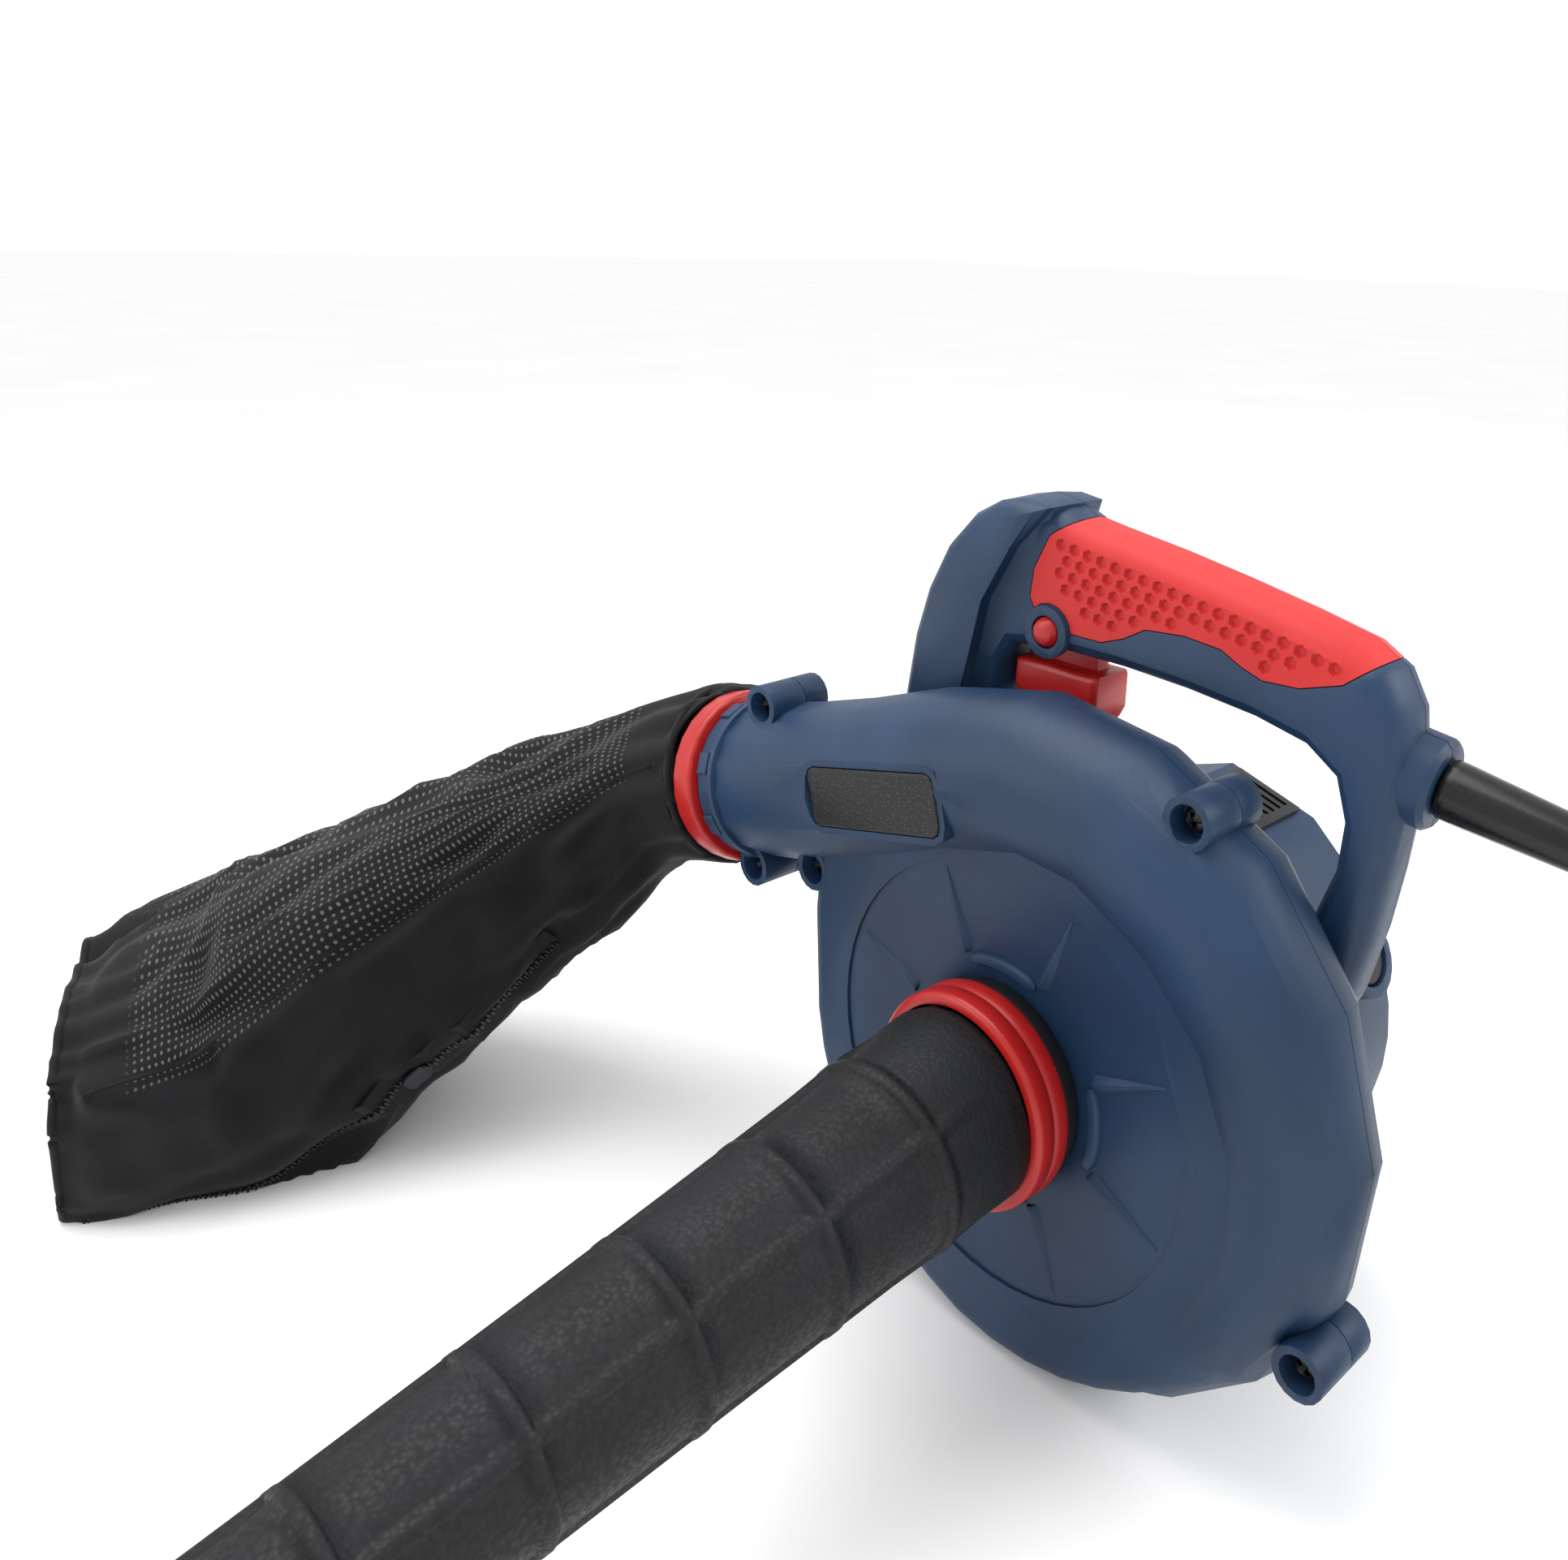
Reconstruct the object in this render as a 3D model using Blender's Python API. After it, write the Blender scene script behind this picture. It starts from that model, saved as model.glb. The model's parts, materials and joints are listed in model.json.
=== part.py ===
"""Corded leaf blower with a bayonet nozzle and a dust bag. Lengths are in millimetres, turned into metres
where a mesh is made. The fan axis is the Y axis: the intake faces -Y, the outlet neck leaves towards -X."""

import math

import bmesh
import bpy
from mathutils import Vector

for old in list(bpy.data.objects):
    bpy.data.objects.remove(old)

mm = 0.001
gap = 0.3  # between pieces that touch
wall = 2.6  # moulded housings

# Where the fan axis crosses the front face, in the part's own frame
originX, originY, originZ = 84.04, 61.33, 83.5

# Scroll housing
seamY = 13.0  # between the two scroll shells
scrollDepth = 26.0
# Spiral radius at each angle, anticlockwise from +X as seen from the intake side
scrollRadii = (
    (180, 77.0),
    (225, 79.0),
    (270, 83.5),
    (315, 88.5),
    (345, 97.0),
    (360, 101.0),
    (405, 107.5),
    (450, 106.0),
)
scrollEdge = 6.0  # rounding of the rim
discRadius = 60.0
discDepth = 1.0
ductEnd = 17.0  # duct radius at the right, 360 degrees
neckRadius = 24.5
neckX, neckZ = -118.4, 47.2  # centre of the outlet's end
neckTilt = 14.0
neckLength = 36.0
ductSides = 16
neckWall = 2.6
intakeBore = 23.0

# Bosses and screws
bossRadius, bossBore = 6.7, 4.7
bossBack = 22.0
screwHead, screwShank = 3.6, 1.9
screwSink = 6.0

# Handle
handleY = 43.0  # seam between the handle shells
gripDepth = {-1: 13.0, 1: 11.5}  # from the seam to the near and far side faces
blockDepth = {-1: 19.0, 1: 14.5}
handleWall = 2.6
gripSkin = 1.8

# Motor
motorRadius, motorEndRadius, motorEnd = 62.0, 52.0, 112.0
motorTaper = 14.0
motorWall = 2.6
coverLength = 6.0
facetAngles, facetReach = (34, 60, 86), 66.0
footHalf, footNear, footFar = 38.0, 84.0, 106.0
shaftRadius = 4.0
armatureRadius, armatureLength = 17.5, 30.0
statorBore, statorRadius = 19.0, 33.0
bearingRadius, bearingWidth = 9.5, 7.0
commutatorRadius, commutatorLength = 10.5, 13.0
brushAngle, brushY = 25.0, 87.0

# Impeller
impellerRadius, impellerWidth, impellerBlades = 56.0, 15.0, 9
impellerY = 5.0

# Nozzle
collarRadius, collarLength = 25.4, 9.0
ringRadius, ringLength = 28.9, 12.0
nozzleLength, nozzleBase, nozzleTip = 226.0, 26.0, 15.0
nozzleWall = 2.2
nozzleLean = (0.046, -0.995, -0.089)  # the loose bayonet lets the tube hang a little off the fan axis

# Bag
bagRingRadius, bagRingLength = 27.6, 9.0

# Cord
cordRadius = 3.6
reliefLength = 62.0


def material(name, colour, roughness, metallic=0.0):
    made = bpy.data.materials.new(name)
    made.use_nodes = True
    shader = made.node_tree.nodes["Principled BSDF"]
    shader.inputs["Base Color"].default_value = (*colour, 1.0)
    shader.inputs["Roughness"].default_value = roughness
    shader.inputs["Metallic"].default_value = metallic
    return made


bluePlastic = material("blue plastic", (0.028, 0.068, 0.145), 0.55)
darkPlastic = material("black plastic", (0.012, 0.012, 0.013), 0.5)
redPlastic = material("red plastic", (0.62, 0.03, 0.025), 0.45)
redRubber = material("red soft grip", (0.7, 0.05, 0.05), 0.7)
softBlack = material("black nozzle plastic", (0.014, 0.014, 0.015), 0.6)
nylon = material("black nylon", (0.008, 0.008, 0.009), 0.85)
steel = material("steel", (0.45, 0.45, 0.46), 0.35, 1.0)
darkSteel = material("blackened steel", (0.05, 0.05, 0.052), 0.4, 1.0)
copper = material("copper", (0.55, 0.22, 0.1), 0.35, 1.0)
brass = material("brass", (0.6, 0.42, 0.16), 0.35, 1.0)
carbon = material("carbon", (0.02, 0.02, 0.02), 0.6)


def place(point):
    return Vector((point[0] + originX, point[1] + originY, point[2] + originZ)) * mm


def solid(name, points, faces, finish, cutter=False):
    """A closed mesh from points in millimetres, with its faces turned out."""
    mesh = bpy.data.meshes.new(name)
    mesh.from_pydata([place(p) for p in points], [], faces)
    shaped = bmesh.new()
    shaped.from_mesh(mesh)
    bmesh.ops.recalc_face_normals(shaped, faces=shaped.faces)
    if shaped.calc_volume(signed=True) < 0:
        bmesh.ops.reverse_faces(shaped, faces=shaped.faces)
    shaped.to_mesh(mesh)
    shaped.free()
    mesh.materials.append(finish)
    obj = bpy.data.objects.new(name, mesh)
    bpy.context.scene.collection.objects.link(obj)
    if cutter:
        obj.hide_render = True
        obj.display_type = "WIRE"
    return obj


def stack(name, rings, finish, closed=False, cutter=False):
    """Rings of equal count joined by quads, with a cap on each end or the last joined to the first."""
    count = len(rings[0])
    points = [p for ring in rings for p in ring]
    faces = []
    rows = len(rings) if closed else len(rings) - 1
    for row in range(rows):
        low, high = row * count, (row + 1) % len(rings) * count
        for i in range(count):
            j = (i + 1) % count
            faces.append((low + i, low + j, high + j, high + i))
    if not closed:
        faces.append(tuple(range(count))[::-1])
        faces.append(tuple((len(rings) - 1) * count + i for i in range(count)))
    return solid(name, points, faces, finish, cutter)


def basis(direction):
    along = Vector(direction).normalized()
    side = along.cross(Vector((0, 0, 1)))
    if side.length < 0.1:
        side = Vector((1, 0, 0))
    side.normalize()
    return along, side, side.cross(along)


def circle(centre, direction, radius, count):
    along, side, up = basis(direction)
    made = []
    for i in range(count):
        a = 2 * math.pi * i / count
        made.append(Vector(centre) + side * radius * math.cos(a) + up * radius * math.sin(a))
    return made


def lathe(
    name, profile, finish, centre=(0, 0, 0), direction=(0, 1, 0), count=32, closed=False, cutter=False,
):
    """Turns (radius, distance) pairs about an axis. A closed profile is a loop off the axis."""
    along = Vector(direction).normalized()
    rings = [circle(Vector(centre) + along * d, along, r, count) for r, d in profile]
    return stack(name, rings, finish, closed, cutter)


def rod(name, start, end, radius, finish, count=16, cutter=False):
    start, end = Vector(start), Vector(end)
    profile = [(radius, 0), (radius, (end - start).length)]
    return lathe(name, profile, finish, start, end - start, count, False, cutter)


def block(name, low, high, finish, cutter=False):
    x0, y0, z0 = low
    x1, y1, z1 = high
    ring = [(x0, z0), (x1, z0), (x1, z1), (x0, z1)]
    return stack(name, [[(x, y, z) for x, z in ring] for y in (y0, y1)], finish, False, cutter)


def inset(outline, distance):
    """Moves a closed counter-clockwise outline inwards."""
    made = []
    for i, (x, z) in enumerate(outline):
        before, after = outline[i - 1], outline[(i + 1) % len(outline)]
        a = Vector((x - before[0], z - before[1])).normalized()
        b = Vector((after[0] - x, after[1] - z)).normalized()
        normal = Vector((-a.y - b.y, a.x + b.x))
        if normal.length < 1e-6:
            normal = Vector((-a.y, a.x))
        normal.normalize()
        reach = max(0.5, normal.dot(Vector((-a.y, a.x))))
        made.append((x + normal.x * distance / reach, z + normal.y * distance / reach))
    return made


def smooth(points, between, loop=True):
    """Points on a Catmull-Rom curve through the given ones."""
    count = len(points)
    made = []
    for i in range(count if loop else count - 1):
        if loop:
            p = [Vector(points[(i + k) % count]) for k in (-1, 0, 1, 2)]
        else:
            p = [Vector(points[min(max(i + k, 0), count - 1)]) for k in (-1, 0, 1, 2)]
        for step in range(between):
            t = step / between
            made.append(
                0.5
                * (
                    2 * p[1]
                    + (p[2] - p[0]) * t
                    + (2 * p[0] - 5 * p[1] + 4 * p[2] - p[3]) * t * t
                    + (3 * p[1] - p[0] - 3 * p[2] + p[3]) * t * t * t
                )
            )
    if not loop:
        made.append(Vector(points[-1]))
    return [tuple(p) for p in made]


def layers(name, outline, levels, finish, cutter=False):
    """An XZ outline carried along Y: each level is (y, inset)."""
    rings = []
    for y, pulled in levels:
        loop = inset(outline, pulled) if pulled else outline
        rings.append([(x, y, z) for x, z in loop])
    return stack(name, rings, finish, False, cutter)


def cut(obj, other, operation="DIFFERENCE"):
    made = obj.modifiers.new(operation.lower(), "BOOLEAN")
    made.operation = operation
    made.solver = "EXACT"
    made.object = other
    return obj


def baked(obj):
    """The object's evaluated mesh in place of its modifiers, with faces too thin to matter merged away."""
    graph = bpy.context.evaluated_depsgraph_get()
    mesh = bpy.data.meshes.new_from_object(obj.evaluated_get(graph))
    obj.modifiers.clear()
    shaped = bmesh.new()
    shaped.from_mesh(mesh)
    bmesh.ops.remove_doubles(shaped, verts=shaped.verts, dist=0.004 * mm)
    bmesh.ops.dissolve_degenerate(shaped, edges=shaped.edges, dist=0.004 * mm)
    shaped.to_mesh(mesh)
    shaped.free()
    obj.data = mesh
    return obj


def joined(name, parts, finish):
    """The union of solids, as one new object. The parts stay as hidden helpers."""
    first = parts[0]
    whole = bpy.data.objects.new(name, first.data.copy())
    bpy.context.scene.collection.objects.link(whole)
    for other in parts[1:]:
        cut(whole, other, "UNION")
    for other in parts:
        other.hide_render = True
        other.display_type = "WIRE"
    baked(whole)
    whole.data.materials.clear()
    whole.data.materials.append(finish)
    return whole


def helper(obj):
    obj.hide_render = True
    obj.display_type = "WIRE"
    return obj


def copied(name, obj):
    made = bpy.data.objects.new(name, obj.data.copy())
    bpy.context.scene.collection.objects.link(made)
    return made


# ---- Scroll housing ----

tiltX, tiltZ = -math.cos(math.radians(neckTilt)), -math.sin(math.radians(neckTilt))
neckEnd = Vector((neckX, seamY, neckZ))
neckAxis = Vector((tiltX, 0, tiltZ))
neckUp = Vector((tiltZ, 0, -tiltX))


def scrollRadius(angle):
    """The spiral's radius, eased between its named values."""
    for (a0, r0), (a1, r1) in zip(scrollRadii, scrollRadii[1:]):
        if angle <= a1:
            share = max(0.0, (angle - a0) / (a1 - a0))
            return r0 + (r1 - r0) * share
    return scrollRadii[-1][1]


def polar(radius, angle):
    a = math.radians(angle)
    return radius * math.cos(a), radius * math.sin(a)


ductPath = []  # (angle, duct radius) round the scroll
for angle in range(270, 431, 20):
    share = (angle - 270) / (360 - 270)
    ductPath.append((angle, 9.5 + (ductEnd - 9.5) * min(1.6, share)))


def ductCircle(centre, along, radius):
    """A circle across the duct whose first point always looks along Y, so rings join without a twist."""
    along = Vector(along).normalized()
    side = Vector((0, 1, 0))
    up = along.cross(side)
    made = []
    for i in range(ductSides):
        a = 2 * math.pi * i / ductSides
        made.append(Vector(centre) + side * radius * math.cos(a) + up * radius * math.sin(a))
    return made


def ductRings(shrink, spare=0.0):
    """Circles along the duct, from inside the scroll's rim to the end of the outlet neck."""
    rings = []
    for angle, radius in ductPath:
        reach = scrollRadius(angle) - radius
        x, z = polar(reach, angle)
        tangent = Vector((-math.sin(math.radians(angle)), 0, math.cos(math.radians(angle))))
        rings.append(ductCircle((x, seamY, z), tangent, radius - shrink))
    last = Vector(polar(scrollRadius(ductPath[-1][0]) - ductPath[-1][1], ductPath[-1][0]))
    startPoint = Vector((last.x, seamY, last.y))
    startTangent = Vector(
        (-math.sin(math.radians(ductPath[-1][0])), 0, math.cos(math.radians(ductPath[-1][0])))
    )
    neckStart = neckEnd - neckAxis * neckLength
    for share in (0.25, 0.5, 0.75, 1.0):
        # A cubic from the scroll's last circle to the neck's first one
        reach = (neckStart - startPoint).length
        a, b = startPoint, startPoint + startTangent * reach / 3
        c, d = neckStart - neckAxis * reach / 3, neckStart
        s = 1 - share
        centre = a * s**3 + b * 3 * s * s * share + c * 3 * s * share**2 + d * share**3
        slope = (b - a) * 3 * s * s + (c - b) * 6 * s * share + (d - c) * 3 * share**2
        radius = ductPath[-1][1] + (neckRadius - ductPath[-1][1]) * share
        rings.append(ductCircle(centre, slope, radius - shrink))
    rings.append(ductCircle(neckEnd + neckAxis * spare, neckAxis, neckRadius - shrink))
    return rings


def scrollOutline(pulled):
    """The flat body's edge, counter-clockwise. Where the duct forms the rim it stays inside the duct."""
    points = []
    for angle in range(180, 431, 9):
        hidden = 4.0 * min(1.0, max(0.0, (angle - 262) / 40))
        points.append(polar(scrollRadius(angle) - hidden, angle))
    points.append((4.0, 94.0))
    points.append((-36.0, 74.0))
    points.append((-68.0, 60.0))
    points.append((-76.0, 42.0))
    points.append((-78.0, 20.0))
    return inset(points, pulled) if pulled else points


outerOutline = scrollOutline(0)
bodyLevels = [
    (0.0, scrollEdge),
    (0.8, scrollEdge * 0.5),
    (2.2, scrollEdge * 0.2),
    (scrollEdge, 0.0),
    (scrollDepth - scrollEdge, 0.0),
    (scrollDepth - 2.2, scrollEdge * 0.2),
    (scrollDepth - 0.8, scrollEdge * 0.5),
    (scrollDepth, scrollEdge),
]
scrollBody = layers("scroll_body_form", outerOutline, bodyLevels, bluePlastic, True)
ductForm = stack("duct_form", ductRings(0), bluePlastic, False, True)

boreLevels = [
    (wall, scrollEdge + wall * 0.6),
    (scrollEdge, wall),
    (scrollDepth - scrollEdge, wall),
    (scrollDepth - wall, scrollEdge + wall * 0.6),
]
scrollHollow = layers("scroll_hollow_form", outerOutline, boreLevels, bluePlastic, True)
ductHollow = stack("duct_hollow_form", ductRings(neckWall, 5.0), bluePlastic, False, True)

bossSpots = [polar(scrollRadius(419) - 2.0, 419), polar(scrollRadius(342) + 2.0, 342)]
bossSpots.append((-77.0, 33.0))
bossSpots.append(polar(scrollRadius(232) - 1.0, 232))
for side, along in ((1, -23.0), (-1, -7.0)):
    centre = neckEnd + neckAxis * along + neckUp * side * (neckRadius + 0.8)
    bossSpots.append((centre.x, centre.z))

bosses = []
for i, (x, z) in enumerate(bossSpots):
    bosses.append(
        rod(f"boss_form_{i + 1}", (x, 0.2, z), (x, bossBack, z), bossRadius, bluePlastic, 16, True),
    )

scrollSolid = joined("scroll_form", [scrollBody, ductForm] + bosses, bluePlastic)
helper(scrollSolid)
scrollVoid = joined("scroll_void_form", [scrollHollow, ductHollow], bluePlastic)
helper(scrollVoid)

# Material left inside for the screw columns that stand in the air path's edge
for i, (x, z) in enumerate(bossSpots):
    front, back = (x, 0.5, z), (x, bossBack - 0.5, z)
    cut(scrollVoid, rod(f"column_form_{i + 1}", front, back, bossRadius - 0.4, bluePlastic, 16, True))
baked(scrollVoid)

far = 400.0
frontHalf = block("front_half_form", (-far, -60, -far), (far, seamY, far), bluePlastic, True)
rearHalf = block("rear_half_form", (-far, seamY + gap, -far), (far, 90, far), bluePlastic, True)

screwBores = []
for i, (x, z) in enumerate(bossSpots):
    screwBores.append(
        rod(f"screw_bore_form_{i + 1}", (x, -5, z), (x, screwSink, z), bossBore, bluePlastic, 16, True),
    )

frontShell = copied("scroll_front_shell", scrollSolid)
cut(frontShell, frontHalf, "INTERSECT")
cut(frontShell, scrollVoid)
# The round recess round the intake, and the intake itself
recess = lathe(
    "disc_form",
    [
        (discRadius, -6.0),
        (discRadius, discDepth),
        (collarRadius + gap, discDepth),
        (collarRadius + gap, seamY + 5),
    ],
    bluePlastic,
    count=48,
    cutter=True,
)
cut(frontShell, recess)
for bore in screwBores:
    cut(frontShell, bore)
pilots = []
for i, (x, z) in enumerate(bossSpots):
    front, back = (x, screwSink - 1, z), (x, bossBack - 2, z)
    pilots.append(rod(f"pilot_form_{i + 1}", front, back, screwShank + gap, bluePlastic, 12, True))
for pilot in pilots:
    cut(frontShell, pilot)
baked(frontShell)

rearShell = copied("scroll_rear_shell", scrollSolid)
cut(rearShell, rearHalf, "INTERSECT")
cut(rearShell, scrollVoid)
shaftHole = rod("shaft_hole_form", (0, seamY, 0), (0, 60, 0), bearingRadius + 6, bluePlastic, 32, True)
cut(rearShell, shaftHole)
for pilot in pilots:
    cut(rearShell, pilot)
baked(rearShell)

for i, (x, z) in enumerate(bossSpots):
    head = screwSink - gap
    lathe(
        f"scroll_screw_{i + 1}",
        [
            (screwHead * 0.6, head - 2.6),
            (screwHead, head - 1.9),
            (screwHead, head),
            (screwShank, head),
            (screwShank, head + 11.0),
            (0.8, head + 13.0),
        ],
        darkSteel,
        (x, 0, z),
        count=12,
    )

# ---- Intake collar and badge ----

lathe(
    "intake_collar",
    [
        (collarRadius, impellerY - 0.4),
        (collarRadius, discDepth - gap),
        (collarRadius + 2.2, discDepth - gap),
        (collarRadius + 2.2, -3.5),
        (collarRadius, -3.5),
        (collarRadius, -collarLength),
        (intakeBore, -collarLength),
        (intakeBore, impellerY - 0.4),
    ],
    darkPlastic,
    count=32,
    closed=True,
)

badgeCentre = Vector((-42.0, -8.4, 68.2))
badgeLong, badgeTall, badgeThick = 52.0, 17.0, 1.2
badgeTurn = 14.0


def badgeRing(y, pulled):
    """A rounded rectangle that lies along the duct."""
    across = Vector((math.cos(math.radians(badgeTurn)), 0, math.sin(math.radians(badgeTurn))))
    up = Vector((-across.z, 0, across.x))
    corner = 3.0
    made = []
    for sx, sz, start in ((1, -1, -90), (1, 1, 0), (-1, 1, 90), (-1, -1, 180)):
        for step in (0, 45, 90):
            a = math.radians(start + step)
            x = sx * (badgeLong / 2 - corner) + (corner - pulled) * math.cos(a)
            z = sz * (badgeTall / 2 - corner) + (corner - pulled) * math.sin(a)
            made.append(badgeCentre + across * x + up * z + Vector((0, y, 0)))
    return made


plateTop = -badgeThick
stack(
    "badge_plate",
    [badgeRing(plateTop, 0.4), badgeRing(plateTop + 0.3, 0.0), badgeRing(0.6, 0.0)],
    darkPlastic,
)
pocketRings = [badgeRing(-6.0, -gap), badgeRing(0.6 + gap, -gap)]
badgePocket = stack("badge_pocket_form", pocketRings, bluePlastic, False, True)
badgeSeat = stack(
    "badge_seat_form",
    [badgeRing(-0.8, -2.2), badgeRing(9.0, -2.2)],
    bluePlastic,
    False,
    True,
)
cut(frontShell, badgeSeat, "UNION")
cut(frontShell, badgePocket)
baked(frontShell)

# ---- Handle ----

outerEdge = [
    (-24, 151.5),
    (-31, 150),
    (-40, 145),
    (-49.5, 135),
    (-57, 121),
    (-62, 106),
    (-65.5, 87),
    (-66, 62),
    (-57, 22),
]
innerEdge = [
    (-26, 46),
    (-33, 70),
    (-32, 88),
    (-31, 101),
    (-27, 107.5),
    (-12, 109.5),
    (10, 109.5),
    (30, 108.5),
    (50, 106.5),
    (64, 103.5),
    (72, 98),
    (75, 88),
    (74, 76),
    (69, 62),
    (59, 48),
    (46, 36),
]
rearEdge = [
    (56, 14),
    (73, 28),
    (80, 42),
    (84.5, 60),
    (87.2, 76),
    (89.2, 92),
    (89.6, 106),
    (88.4, 117),
    (83.5, 126),
    (75, 131.2),
]
topEdge = [(58, 135.2), (38, 139.2), (18, 142.8), (-2, 145.8), (-9, 147), (-15, 150.5)]
# The grip's own outline runs just inside the block's outer edge, so the two forms overlap cleanly
gripEdgeIn = [(x + 1.2, z - 0.8) for x, z in outerEdge]
handleOutline = gripEdgeIn + innerEdge + rearEdge + topEdge[:-1] + [(-14, 149.2)]
blockInner = [(-38, 34), (-42, 62), (-42, 90), (-38, 105), (-34, 121), (-24, 138), (-14, 150)]
blockOutline = outerEdge + blockInner

gripOutline = [
    (-8, 147),
    (-15, 142),
    (-20, 132),
    (-21, 124),
    (-19, 120.5),
    (-12, 119.5),
    (-6, 116.5),
    (4, 116.5),
    (11, 119),
    (18, 123),
    (30, 124),
    (41, 123),
    (47, 120),
    (53, 118),
    (63, 118.5),
    (74, 122),
    (84, 130),
    (96, 150),
    (60, 156),
    (-4, 158),
]

# The grip's rounding: distance in from the side face, and how far the outline is pulled in there
# Edge rounding of each half, outside and inside the D: the far half rounds away more
gripEdge = {-1: (5.0, 4.4), 1: (6.6, 4.2)}

gripRound = {
    -1: ((0.0, 1.0), (1.2, 0.58), (3.2, 0.24), (6.6, 0.05)),
    1: ((0.0, 1.0), (1.2, 0.76), (3.5, 0.5), (6.6, 0.22)),
}  # depth, share of the edge rounding
blockRound = {-1: ((0.0, 4.0), (1.4, 1.7), (4.0, 0.3)), 1: ((0.0, 4.4), (1.4, 2.7), (3.6, 1.2))}
glandCentre = Vector((87.0, handleY + 1.0, 100.5))
cordAxis = Vector((0.985, 0.06, -0.16)).normalized()
glandRadius, reliefNeck = 11.5, 5.4
lockX, lockZ, lockRadius = -14.0, 115.5, 4.4
lockCollar = 7.4
lockTravel, triggerTravel = 2.5, 6.0
handleScrews = ((-49, 116), (-54, 84), (26, 116), (79.0, 72))
pillarRadius, pillarSink, handleScrewEnd = 4.7, 3.3, 33.0


def handleForm(name, side, pulled):
    """One half of the handle from its side face to the seam, pulled in by a wall."""
    face = handleY + side * gripDepth[side]
    outerRound, innerRound = [max(0.7, edge - pulled) for edge in gripEdge[side]]
    a, b = len(outerEdge), len(outerEdge) + len(innerEdge)
    rings = []
    for step, share in gripRound[side]:
        outside = inset(handleOutline, outerRound * share + pulled)
        inside = inset(handleOutline, innerRound * share + pulled)
        y = face - side * (step * outerRound / gripEdge[side][0] + pulled)
        rings.append([(x, y, z) for x, z in outside[:a] + inside[a:b] + outside[b:]])
    loop = inset(handleOutline, pulled) if pulled else handleOutline
    rings.append([(x, handleY, z) for x, z in loop])
    return stack(name, rings, bluePlastic, False, True)


def blockForm(name, side):
    """The deeper block at the front of the handle. Its inner edge slopes down to the grip."""
    face = handleY + side * blockDepth[side]
    rings = []
    split = len(outerEdge)
    steps = [(step, inward, 0.0) for step, inward in blockRound[side]]
    steps += [(blockDepth[side] - gripDepth[side] + 1.0, steps[-1][1], -5.0), (blockDepth[side], 0.0, -6.0)]
    for step, outer, inner in steps:
        a = inset(blockOutline, outer)
        b = inset(blockOutline, inner)
        loop = a[:split] + b[split:-1] + a[-1:]
        rings.append([(x, face - side * step, z) for x, z in loop])
    return stack(name, rings, bluePlastic, False, True)


def lockAxisRod(name, side, low, high, radius, cutter=True, finish=bluePlastic, count=16):
    """A round along Y at the lock button: distances are from the grip's side face, outward positive."""
    face = handleY + side * gripDepth[side]
    return rod(
        name,
        (lockX, face + side * low, lockZ),
        (lockX, face + side * high, lockZ),
        radius,
        finish,
        count,
        cutter,
    )


housingSides = 40
frontWall = scrollDepth + gap


def housingRing(y, base, facets=True):
    """The motor housing's section: round, with flat facets at the upper right."""
    reach = facetReach + base - motorRadius
    angles = [a for a in range(0, 360, 360 // housingSides) if min(abs(a - f) for f in facetAngles) > 4]
    made = []
    for angle in sorted(angles + list(facetAngles)):
        radius = base
        for low, high in zip(facetAngles, facetAngles[1:]):
            if facets and low <= angle <= high:
                flat = reach * math.cos(math.radians((high - low) / 2))
                radius = flat / math.cos(math.radians(angle - (low + high) / 2))
        x, z = polar(radius, angle)
        made.append((x, y, z))
    return made


def housingForm(name, spare, cutter=True):
    """The motor housing's outside, grown by a clearance."""
    facetStart = frontWall + 22
    rings = [
        housingRing(frontWall - spare, motorRadius + spare, False),
        housingRing(facetStart, motorRadius + spare, False),
        housingRing(facetStart + 6, motorRadius + spare),
        housingRing(motorEnd - motorTaper, motorRadius + spare),
        housingRing(motorEnd - 4, motorEndRadius + 3 + spare, False),
        housingRing(motorEnd + spare, motorEndRadius + spare, False),
    ]
    return stack(name, rings, bluePlastic, False, cutter)


motorSkin = housingForm("motor_clear_form", 2 * gap)
ductClear = stack("duct_clear_form", ductRings(-gap), bluePlastic, False, True)
clearLevels = [(y + (gap if y > seamY else -gap), pulled) for y, pulled in bodyLevels]
bodyClear = layers("body_clear_form", scrollOutline(-gap), clearLevels, bluePlastic, True)
triggerLow, triggerHigh = (-31.2, handleY - 8.6, 88), (-0.4, handleY + 8.6, 115.5)
triggerCut = block("trigger_cut_form", triggerLow, triggerHigh, bluePlastic, True)
glandStart, glandEnd = glandCentre - cordAxis * 16, glandCentre + cordAxis * 14
glandBore = rod("gland_bore_form", glandStart, glandEnd, reliefNeck + gap, bluePlastic, 16, True)
glandRing = lathe(
    "gland_ring_form",
    [(glandRadius - 3, -9.0), (glandRadius, -4.0), (glandRadius, 5.6), (glandRadius - 1.2, 7.0)],
    bluePlastic,
    glandCentre,
    cordAxis,
    20,
    cutter=True,
)
halfFar = 120.0

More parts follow.
